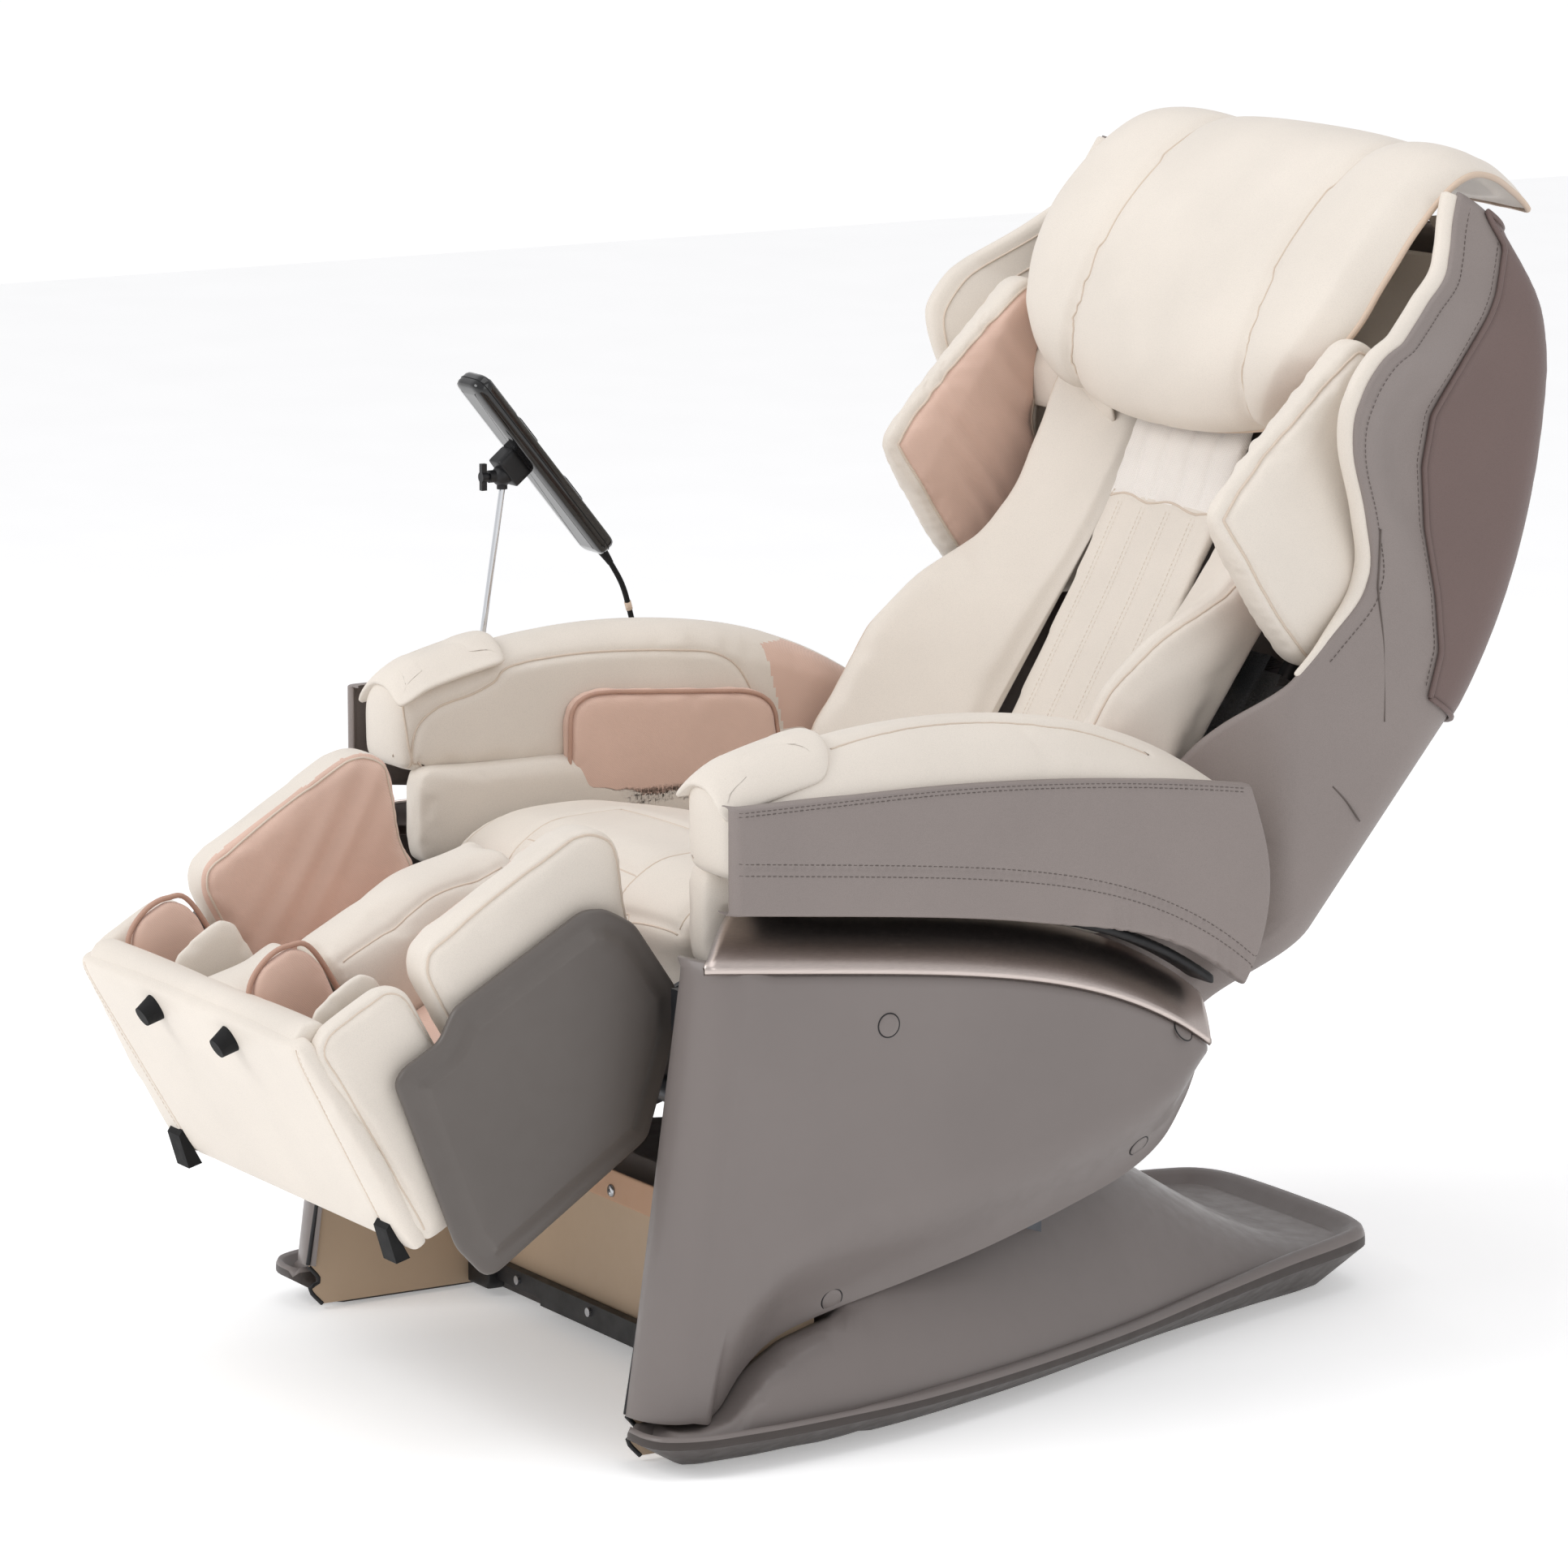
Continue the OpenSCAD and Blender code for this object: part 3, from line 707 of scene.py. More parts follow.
def woven(name, rgb, rough=0.85, threads=1500, bump=0.25, sheen=0.35, spread=0.06):
    """Knitted or woven cloth: two crossed sets of threads."""
    mat, link, shader, at, add = node_kit(name)
    base = linear(rgb)
    patch = add("ShaderNodeTexNoise", Scale=9.0, Detail=4.0)
    link(at, patch.inputs["Vector"])
    colour = shades(add, link, patch.outputs["Fac"],
        [(0.3, tone(base, 1 - spread)), (0.7, tone(base, 1 + spread))])
    across = add("ShaderNodeTexWave", Scale=threads / 6.3, Distortion=1.2)
    across.bands_direction = "DIAGONAL"
    up = add("ShaderNodeTexWave", Scale=threads / 6.3, Distortion=1.2)
    up.bands_direction = "Z"
    for wave in (across, up):
        link(at, wave.inputs["Vector"])
    weave = add("ShaderNodeMath", operation="MAXIMUM")
    link(across.outputs["Fac"], weave.inputs[0])
    link(up.outputs["Fac"], weave.inputs[1])
    dim = add("ShaderNodeMix", data_type="RGBA", blend_type="MULTIPLY")
    dim.inputs["Factor"].default_value = 0.12
    link(colour, dim.inputs["A"])
    link(weave.outputs["Value"], dim.inputs["B"])
    link(dim.outputs["Result"], shader.inputs["Base Color"])
    gloss = add("ShaderNodeMapRange")
    gloss.inputs["To Min"].default_value = rough - 0.06
    gloss.inputs["To Max"].default_value = min(1, rough + 0.08)
    link(patch.outputs["Fac"], gloss.inputs["Value"])
    link(gloss.outputs["Result"], shader.inputs["Roughness"])
    fine = add("ShaderNodeBump", Strength=bump, Distance=0.0005)
    link(weave.outputs["Value"], fine.inputs["Height"])
    link(fine.outputs["Normal"], shader.inputs["Normal"])
    shader.inputs["Sheen Weight"].default_value = sheen
    shader.inputs["Specular IOR Level"].default_value = 0.25
    return mat


def plastic(name, rgb, rough=0.45, speck=2200, bump=0.05, spread=0.04, metallic=0.0, coat=0.0, level=0.4):
    """Moulded or painted shell: very fine texture, faint clouding, small scuffs in the gloss."""
    mat, link, shader, at, add = node_kit(name)
    base = linear(rgb)
    patch = add("ShaderNodeTexNoise", Scale=4.0, Detail=6.0)
    link(at, patch.inputs["Vector"])
    colour = shades(add, link, patch.outputs["Fac"],
        [(0.35, tone(base, 1 - spread)), (0.65, tone(base, 1 + spread))])
    link(colour, shader.inputs["Base Color"])
    scuff = add("ShaderNodeTexNoise", Scale=55.0, Detail=8.0)
    link(at, scuff.inputs["Vector"])
    gloss = add("ShaderNodeMapRange")
    gloss.inputs["From Min"].default_value = 0.35
    gloss.inputs["From Max"].default_value = 0.7
    gloss.inputs["To Min"].default_value = rough - 0.05
    gloss.inputs["To Max"].default_value = rough + 0.08
    link(scuff.outputs["Fac"], gloss.inputs["Value"])
    link(gloss.outputs["Result"], shader.inputs["Roughness"])
    grain = add("ShaderNodeTexNoise", Scale=speck, Detail=2.0)
    link(at, grain.inputs["Vector"])
    fine = add("ShaderNodeBump", Strength=bump, Distance=0.0003)
    link(grain.outputs["Fac"], fine.inputs["Height"])
    link(fine.outputs["Normal"], shader.inputs["Normal"])
    shader.inputs["Metallic"].default_value = metallic
    shader.inputs["Coat Weight"].default_value = coat
    shader.inputs["Specular IOR Level"].default_value = level
    return mat


def brushed(name, rgb, rough=0.32):
    """Brushed metal: long thin streaks along Y in colour, gloss and height."""
    mat, link, shader, at, add = node_kit(name)
    base = linear(rgb)
    stretch = add("ShaderNodeMapping")
    stretch.inputs["Scale"].default_value = (420, 3, 420)
    link(at, stretch.inputs["Vector"])
    streak = add("ShaderNodeTexNoise", Scale=3.0, Detail=6.0)
    link(stretch.outputs["Vector"], streak.inputs["Vector"])
    colour = shades(add, link, streak.outputs["Fac"], [(0.3, tone(base, 0.9)), (0.7, tone(base, 1.06))])
    link(colour, shader.inputs["Base Color"])
    gloss = add("ShaderNodeMapRange")
    gloss.inputs["To Min"].default_value = rough - 0.08
    gloss.inputs["To Max"].default_value = rough + 0.1
    link(streak.outputs["Fac"], gloss.inputs["Value"])
    link(gloss.outputs["Result"], shader.inputs["Roughness"])
    fine = add("ShaderNodeBump", Strength=0.06, Distance=0.0003)
    link(streak.outputs["Fac"], fine.inputs["Height"])
    link(fine.outputs["Normal"], shader.inputs["Normal"])
    shader.inputs["Metallic"].default_value = 1.0
    return mat


CREAM = leather("cream_leather_look", (228, 219, 208))
CREAM_SEAM = leather("cream_seam_look", (216, 200, 184), rough=0.6)
PIPING = leather("piping_look", (214, 192, 172), rough=0.55, grain=1400)
PINK = woven("pink_cloth_look", (219, 187, 171))
PINK_SEAM = leather("pink_seam_look", (188, 150, 132), rough=0.65)
NECK_MESH = woven("white_mesh_look", (236, 230, 224), threads=1100, bump=0.5)
GREY = leather("grey_leather_look", (141, 131, 127), grain=700, bump=0.2, sheen=0.03)
GREY_THREAD = leather("grey_thread_look", (98, 88, 83), rough=0.6)
BROWN = leather("rear_panel_look", (112, 94, 90), grain=700, bump=0.2, sheen=0.03)
SHELL = plastic("grey_shell_look", (121, 113, 110), rough=0.4, coat=0.1)
# Dark grey: the colour of the ring mark on the remote's rear, and also painted shade on the base plate's downward and
# sideways faces.
DARK_GREY_AND_PAINTED_SHADE = plastic("grey_shell_edge_look", (66, 59, 56), rough=0.48)
LEG_SHELL = plastic("leg_cover_look", (97, 91, 87), rough=0.46, coat=0.05)
TRIM = brushed("brushed_trim_look", (206, 194, 188))
BEIGE = plastic("beige_sheet_look", (190, 167, 142), rough=0.55, bump=0.12)
BLACK = plastic("black_plastic_look", (27, 27, 29), rough=0.45, bump=0.15)
GLOSS = plastic("glossy_black_look", (12, 12, 14), rough=0.12, coat=0.6, bump=0.01)
RUBBER = plastic("black_rubber_look", (24, 24, 25), rough=0.72, bump=0.3, level=0.25)
STEEL = plastic("dark_steel_look", (86, 88, 92), rough=0.4, metallic=0.8, bump=0.1)
BRIGHT = brushed("bright_steel_look", (188, 190, 194), rough=0.28)
CHROME = plastic("chrome_look", (216, 218, 222), rough=0.09, metallic=1.0, bump=0.01)
RED = plastic("red_switch_look", (168, 30, 28), rough=0.35)
BRACKET = plastic("tan_bracket_look", (196, 158, 130), rough=0.6, bump=0.15)

SLOT_OF = {
    CREAM: "cream_leather", PINK: "pink_fabric", GREY: "grey_leather", SHELL: "grey_plastic",
    LEG_SHELL: "grey_plastic", TRIM: "metal_trim", BEIGE: "beige_sheet", BLACK: "black_plastic",
    RUBBER: "black_rubber", STEEL: "frame_steel", BRIGHT: "steel", CHROME: "chrome", BROWN: "grey_leather",
}


def place(obj, mats, body, stands_for=()):
    """Gives a piece its material or materials and its body."""
    mats = mats if isinstance(mats, (list, tuple)) else [mats]
    for mat in mats:
        obj.data.materials.append(mat)
    if mats[0] in SLOT_OF:
        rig.slot(obj, SLOT_OF[mats[0]])
    if stands_for:
        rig.replaces(obj, *stands_for)
    if body:
        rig.ride(obj, body)
    return obj


def place_strands(name, strands, mat, body, nodes=()):
    """Several tubes joined into one piece, such as all the welts of a pad."""
    place(outward(joined(name, strands)), mat, body, nodes)


def repaint(obj, index, chosen):
    """Gives a material slot to each face whose middle and normal pass a test."""
    faces = obj.data.polygons
    middle = np.empty(len(faces) * 3)
    normal = np.empty(len(faces) * 3)
    faces.foreach_get("center", middle)
    faces.foreach_get("normal", normal)
    picked = chosen(middle.reshape(-1, 3), normal.reshape(-1, 3))
    slots = np.zeros(len(faces), np.int32)
    faces.foreach_get("material_index", slots)
    slots[picked] = index
    faces.foreach_set("material_index", slots)


# ---- camera, light and floor ----------------------------------------------------


def studio():
    scene = bpy.context.scene
    data = bpy.data.cameras.new("Camera")
    data.lens = 169.33
    data.sensor_width = 36
    camera = bpy.data.objects.new("Camera", data)
    camera.location = (6.6908, -4.0929, 2.1113)
    camera.rotation_euler = (math.radians(90 - 10.876), 0, math.radians(59))
    scene.collection.objects.link(camera)
    scene.camera = camera
    scene.view_settings.view_transform = "Standard"
    sky = bpy.data.worlds.new("studio")
    sky.use_nodes = True
    tree = sky.node_tree
    at = tree.nodes.new("ShaderNodeTexCoord")
    parts = tree.nodes.new("ShaderNodeSeparateXYZ")
    tree.links.new(at.outputs["Generated"], parts.inputs[0])
    ramp = tree.nodes.new("ShaderNodeValToRGB")
    ramp.color_ramp.elements[0].position = 0.0
    ramp.color_ramp.elements[0].color = (1, 1, 1, 1)
    ramp.color_ramp.elements[1].position = 0.12
    ramp.color_ramp.elements[1].color = (0.66, 0.66, 0.67, 1)
    tree.links.new(parts.outputs["Z"], ramp.inputs["Fac"])
    tree.links.new(ramp.outputs["Color"], tree.nodes["Background"].inputs["Color"])
    tree.nodes["Background"].inputs["Strength"].default_value = 1.02
    scene.world = sky
    for name, energy, size, at, to in (
        ("key", 74, 2.4, (-0.8, -3.8, 3.2), (0, -0.1, 0.5)),
        ("top", 22, 2.6, (0.4, 0.2, 3.6), (0, 0, 0.5)),
        ("side", 18, 2.2, (4.2, 0.6, 2.4), (0, 0, 0.6)),
    ):
        light = bpy.data.lights.new(name, "AREA")
        light.energy = energy
        light.size = size
        lamp = bpy.data.objects.new(name, light)
        lamp.location = at
        lamp.rotation_euler = (Vector(to) - Vector(at)).to_track_quat("-Z", "Y").to_euler()
        scene.collection.objects.link(lamp)
    floor = add_mesh("floor", [(-9, -9, 0), (9, -9, 0), (9, 9, 0), (-9, 9, 0)], [[0, 1, 2, 3]])
    floor.data.materials.append(plastic("floor_look", (250, 250, 250), rough=0.9, bump=0.02, spread=0.01,
        level=0.1))
    shader = floor.data.materials[0].node_tree.nodes["Principled BSDF"]
    shader.inputs["Emission Color"].default_value = (1, 1, 1, 1)
    shader.inputs["Emission Strength"].default_value = 0.3
    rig.stage(floor)


studio()


# ---- cords ---------------------------------------------------------------------

REMOTE_CORD = [
    (-424, -57, 808), (-424, -44, 790), (-427, -28, 764), (-434, -14, 730), (-437, -4, 694),
    (-437, 2, 660), (-436, 5, 640), (-433, 6, 628), (-429.5, 6, 625.3), (-426, 6, 625),
]
AIR_HOSE = [
    (30, -300, -62.5), (30, -300, -74), (32, -302, -116), (40, -296, -142), (50, -276, -152),
    (58, -254, -144), (60, -238, -116), (60, -228, -76), (60, -225, -56), (60, -225, -44),
]


def length_of(line):
    return float(np.linalg.norm(np.diff(line, axis=0), axis=1).sum())


def cords():
    """The remote's cord in two runs that meet at its white band, and the foot box's air hose."""
    line = smooth_line(world(REMOTE_CORD), 0.005)
    half = 16
    upper, lower = line[: half + 1][::-1], line[half:]
    band = tube("cord_band", line[half - 1 : half + 2], 0.0041, 12)
    place(band, PIPING, "clamp")
    lower_cord = tube("remote_cord_lower", lower[::-1], 0.0032, 10)
    place(lower_cord, RUBBER, None, ["remote_cord"])
    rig.blend(lower_cord, "arm_right", "clamp", start=lower[-1], end=lower[0])
    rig.cord(lower_cord, exit=lower[-1], length=length_of(lower), diameter=0.0064, far_end="connector",
            stiffness="medium", lay="hanging", path=lower[::-1], with_pieces=[band])
    upper_cord = tube("remote_cord_upper", upper, 0.0032, 10)
    place(upper_cord, RUBBER, None)
    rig.blend(upper_cord, "clamp", "remote", start=upper[0], end=upper[-1])
    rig.cord(upper_cord, exit=upper[0], length=length_of(upper), diameter=0.0064, far_end="object",
            stiffness="medium", lay="hanging", path=upper)
    relief = tube("cord_strain_relief", line[:5], np.linspace(0.0058, 0.0036, 5), 12)
    place(relief, RUBBER, "remote")
    hose = smooth_line(leg(AIR_HOSE), 0.005)
    pipe = tube("foot_air_hose", hose, 0.005, 12)
    place(pipe, RUBBER, None, ["air_hose"])
    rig.blend(pipe, "footrest", "legrest", start=hose[0], end=hose[-1])
    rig.cord(pipe, exit=hose[0], length=length_of(hose), diameter=0.01, far_end="object",
            stiffness="medium", lay="hanging", path=hose)


cords()

# ---- base ----------------------------------------------------------------------


PLATE = [
    (60, -240), (200, -240), (320, -240), (354, -241), (366, -253), (366, -290), (366, -400), (366, -470),
    (374, -484), (410, -483), (434, -468), (449, -424), (450, -350), (441, -250),
    (424, -150), (390, -30), (352, 80), (308, 190), (262, 310), (220, 440), (190, 540), (160, 590),
    (90, 610),
]


def plate_outline():
    line = smooth_line(PLATE + [(-x, y) for x, y in PLATE[::-1]], 9, True)
    line[:, 1] = np.maximum(line[:, 1], -484.5)
    line[:, 0] = np.clip(line[:, 0], -450, 450)
    return line


def plate_rim(y):
    return 46 + 24 * ease(150, 600, y)


def base_plate():
    """A shallow dish with a soft rim, undercut towards the floor."""
    line = plate_outline()

    def reach(p, d):
        return d / (0.42 + 0.58 * ease(-270, -120, p[:, 1]))

    def top(p, d):
        r = reach(p, d)
        rim = plate_rim(p[:, 1])
        return rim * np.interp(r, [0, 0.4, 3, 8], [0.76, 0.86, 0.95, 1]) - np.interp(r,
            [8, 15, 22, 32, 44, 60], [0, 1, 5, 12, 18, 20])

    outer = np.array([q for q in line if not (abs(q[0]) < 380 and q[1] < -200)])

    def bottom(p, d):
        return plate_rim(p[:, 1]) * np.interp(rim_distance(p, outer), [0, 8, 54, 60], [0.7, 0.6, 0.01, 0])

    obj = relief("base_plate_shell", line, bottom, top, [0.4, 3, 8, 15, 22, 32, 43, 54, 62], 26, world)
    place(obj, [SHELL, DARK_GREY_AND_PAINTED_SHADE], "base", ["base_plate"])
    # Painted shade: faces turned downward or sideways (the plate's rim sides and underside) get the dark grey.
    repaint(obj, 1, lambda m, n: n[:, 2] < 0.2)


def fairing():
    """A thin dished cover that rises from the plate's rim up to the side covers' lower edges."""
    whole = plate_outline()
    rim = np.array([q for q in whole if not (abs(q[0]) < 380 and q[1] < -200)])
    right = np.array(sorted((y, x) for x, y in rim if x > 0 and (x > 420 or y > -470)))
    half = [(358, -232), (358, -458)]
    half += [(float(np.interp(y, right[:, 0], right[:, 1])) - 15, y) for y in np.linspace(-458, 575, 70)]
    line = half + [(-x, y) for x, y in half[::-1]]
    line = even(np.array(line + line[:1]), 9, True)
    edge_y, edge_z = zip(*COVER_LOW)

    def top(p, d):
        away = rim_distance(p, rim) - 15
        rear = 1 - ease(190, 560, p[:, 1])
        cap = np.interp(p[:, 1], edge_y, edge_z) - 5 + 0.8 * np.maximum(0, 364 - np.abs(p[:, 0]))
        rise = (9 + 170 * (1 - np.exp(-np.maximum(away, 0) / 62))) * rear * ease(0, 6, d)
        return np.minimum(plate_rim(p[:, 1]) - 13 + rise, np.maximum(cap, plate_rim(p[:, 1]) - 4))

    def bottom(p, d):
        return top(p, d) - 4

    obj = relief("base_fairing", line, bottom, top, [6, 14, 22], 15, world)
    place(obj, SHELL, "base")


def front_sheet():
    """The folded sheet across the base's front, with slanted and notched front edges."""
    wall = [(-249, 6), (-456, 6), (-471, 24), (-459, 33), (-473, 50), (-412, 420), (-249, 420)]
    parts = []
    for sign in (1, -1):
        lo, hi = sorted((sign * 351.5, sign * 354))
        parts.append(prism("wall", wall, lo, hi))
    parts.append(prism("face", [(-352, 26), (352, 26), (352, 186), (-352, 186)], -252, -249.5, "xz"))
    points = []
    for obj in parts:
        points.append((coords(obj), [list(f.vertices) for f in obj.data.polygons]))
        bpy.data.objects.remove(obj)
    sheet = outward(joined("front_sheet", points))
    sheet.data.shade_flat()
    place(sheet, BEIGE, "base", ["front_cover"])
    bead = [tube_data(smooth_line(world([(s * 353, y, z)
        for y, z in ((-474, 52), (-455, 160), (-434, 290))]), 0.01), 0.0026, 8) for s in (1, -1)]
    bead += [tube_data(smooth_line(world([(s * 353, y, z)
        for y, z in ((-473, 50), (-460, 33), (-472, 24), (-457, 6))]), 0.006), 0.0026, 8) for s in (1, -1)]
    place_strands("front_sheet_edging", bead, BLACK, "base")
    rail = soft("front_bracket", rounded([(-110, 160), (350, 160), (350, 196), (-110, 196)], 4, 3), -256,
        -252.5, world, "xz", 1.8, 2, cap=0, fine=False)
    place(rail, BRACKET, "base")
    screws = []
    for x in (-57, 90, 240):
        stack = [(0, -256), (7, -256.2), (7, -257.6), (5.4, -259), (2, -259.6), (1.8, -258.6),
            (0.2, -258.4)]
        screws.append(tube_data(world([(x, y, 172) for _, y in stack]),
            np.array([max(r, 0.1) for r, _ in stack]) / 1000, 24))
    place_strands("bracket_screws", screws, BRIGHT, "base")
    block = soft("corner_block", rounded([(-350, 8), (-300, 8), (-300, 40), (-350, 40)], 4, 3), -276, -254,
        world, "xz", 3, 2, cap=0, fine=False)
    place(block, BLACK, "base")


COVER_TOP_Y = [-434, -400, -340, -250, -150, -50, 50, 120, 170, 205, 222]
COVER_LOW = [
    (-500, 51), (-460, 48), (-425, 47), (-390, 55), (-353, 84), (-299, 114), (-231, 133), (-140, 152),
    (-42, 175),
    (60, 206), (130, 232), (175, 262), (203, 302), (216, 330),
]


def cover_edges(count):
    """The side cover's upper and lower edges, point for point, as (y, z)."""
    top = even(smooth_line([(y, cover_top(y) - 5) for y in COVER_TOP_Y], 4), 1)
    low = smooth_line(COVER_LOW, 4)
    along = np.linspace(0, 1, count)

    def pick(line):
        return np.column_stack([np.interp(along, np.linspace(0, 1, len(line)), line[:, k]) for k in (0, 1)])

    return pick(top), pick(low)


def side_cover(side, sign):
    count, rows = 96, 64
    top, low = cover_edges(count)
    wrap = 9
    grid = np.zeros((rows, count + wrap, 3))
    t = np.linspace(0, 1, rows)
    for j in range(count):
        p = top[j] + (low[j] - top[j]) * t[:, None]
        drop = np.linalg.norm(p - low[j], axis=1)
        reach = 150 - 60 * j / count
        amount = 50 * ease(-455, -300, low[j][0])
        under = amount * (1 - ease(0, reach, drop)) ** 1.25
        roll = 9 * np.clip(1 - np.linalg.norm(p - top[j], axis=1) / 12, 0, 1) ** 2
        hollow = 5 * ease(-440, -250, p[:, 0]) * np.sin(math.pi * t) ** 2
        grid[:, wrap + j] = np.column_stack([420 - under - roll - 4 * t - hollow * 0.3, p])
    for i in range(rows):
        behind = grid[i, wrap:, 1] - grid[i, wrap, 1]
        grid[i, wrap:, 1] = grid[i, wrap, 1] + np.where(behind < 100, 70 + 0.3 * behind, behind)
    front = grid[:, wrap].copy()
    for k in range(wrap):
        a = math.pi / 2 * (1 - k / wrap)
        grid[:, k] = front + np.array([-60 * (1 - math.cos(a)), -46 * math.sin(a), 0])
    inner = grid.copy()
    inner[:, :, 0] -= 10
    inner[:, :wrap, 1] += 8
    grid[:, :, 0] *= sign
    inner[:, :, 0] *= sign
    obj = strip_of((world(grid).reshape(grid.shape), world(inner).reshape(inner.shape)),
        f"side_shell_{side}")
    bevel = obj.modifiers.new("Bevel", "BEVEL")
    bevel.width = 0.0025
    bevel.segments = 2
    bevel.limit_method = "ANGLE"
    bevel.angle_limit = math.radians(50)
    baked(obj)
    place(obj, SHELL, "base", [f"side_cover_{side}"])
    return obj


CAPS = [(-199, 441), (166, 393), (139, 263), (-236, 144)]


def screw_caps(side, sign, cover):
    tree = surface(cover)
    discs, rings = [], []
    for y, z in CAPS:
        hit, n, _, _ = tree.ray_cast(Vector((0.6 * sign, y / 1000, z / 1000)), Vector((-sign, 0, 0)))
        n = np.array(n)
        u = np.cross(n, [0, 0, 1.0])
        u /= np.linalg.norm(u)
        v = np.cross(n, u)
        a = np.linspace(0, 2 * math.pi, 41)[:-1]
        circle = np.outer(np.cos(a), u) + np.outer(np.sin(a), v)
        centre = np.array(hit)
        stack = [(0.0120, -0.003), (0.0120, 0.0004), (0.0116, 0.0008), (0.006, 0.0009)]
        points = np.vstack([centre + r * circle + h * n for r, h in stack])
        faces = [face for k in range(3) for face in ring_faces(k, 40)]
        faces += [list(range(40)), [120 + i for i in range(40)]]
        discs.append((points, faces))
        rings.append(tube_data(centre + 0.0127 * circle + 0.0001 * n, 0.0007, 6, True))
    caps = outward(joined(f"cap_discs_{side}", discs))
    place(caps, SHELL, "base", ["screw_caps"])
    place_strands(f"cap_gaps_{side}", rings, BLACK, "base")


def trim(side, sign):
    stations = np.concatenate([np.linspace(-418, 150, 46), np.linspace(156, 200, 10)])
    rows = []
    for y in stations:
        lift = trim_top(y + 44) - cover_top(y)
        skew = 86 - 42 * float(ease(-412, -250, y))
        lip = [(421.5, y, cover_top(y) - 6), (421.5, y, cover_top(y) - 1.5), (419.5, y, cover_top(y) + 1)]
        rise = [
            (420 - 87 * t, y + skew * t, cover_top(y) + 1 + lift * t**0.9 + 7 * math.sin(math.pi * t))
            for t in np.linspace(0.06, 1, 16)
        ]
        rows.append(lip + rise)
    outer = np.array(rows)
    inner = outer.copy()
    inner[:, :, 2] -= 3.2
    inner[:, :3, 0] -= 4
    outer[:, :, 0] *= sign
    inner[:, :, 0] *= sign
    obj = strip_of((world(outer).reshape(outer.shape), world(inner).reshape(inner.shape)),
        f"trim_band_{side}")
    place(obj, TRIM, "base", [f"trim_{side}"])


for side, sign in SIDES.items():
    shell = side_cover(side, sign)
    screw_caps(side, sign, shell)
    trim(side, sign)
base_plate()
fairing()
front_sheet()

# ---- shared sewing details ---------------------------------------------------------


def mirrored(obj, name):
    """The same mesh on the other side of the chair."""
    copy = bpy.data.objects.new(name, obj.data.copy())
    bpy.context.scene.collection.objects.link(copy)
    co = coords(copy)
    co[:, 0] *= -1
    set_coords(copy, co)
    copy.data.flip_normals()
    return copy


def for_side(obj, side):
    """The piece built for the left, or its mirror image."""
    if side == "left":
        return obj
    copy = mirrored(obj, obj.name.replace("left", "right"))
    return copy


def cord_on(tree, line, direction, step=4, sink=0.0, closed=False):
    """A line laid on a surface, in even steps."""
    pts, up = laid(tree, smooth_line(line, step / 1000, closed), direction)
    return pts + up * sink / 1000, up


def sew(obj, name, lines, direction, body, radius=1.5, mat=None, depth=2.2, width=5, closed=False,
    sink=0.4):
    """Sewn lines on a pad: pressed in, with a welt in the bottom. Lines are points near it, in metres."""
    mat = mat or CREAM_SEAM
    tree = surface(obj)
    paths = [cord_on(tree, line, direction, closed=closed)[0] for line in lines]
    groove(obj, paths, depth, width)
    tree = surface(obj)
    parts = []
    for path in paths:
        pts, up = laid(tree, path, direction)
        parts.append(tube_data(pts - up * sink / 1000 * radius, radius / 1000, 6, closed))
    welt = outward(joined(name, parts))
    for part in (welt,):
        place(part, mat, body)
    return paths


def on(place_in, points):
    return place_in(np.asarray(points, float))


def with_x(x, outline):
    return [(x, a, b) for a, b in outline]


# ---- armrests ----------------------------------------------------------------------


def arm_end(t):
    """Rear edge of the armrest's side at a share t of its height, from the top."""
    return 236 + 36 * math.sin(math.pi * min(1, 0.12 + 0.8 * t)) ** 1.3


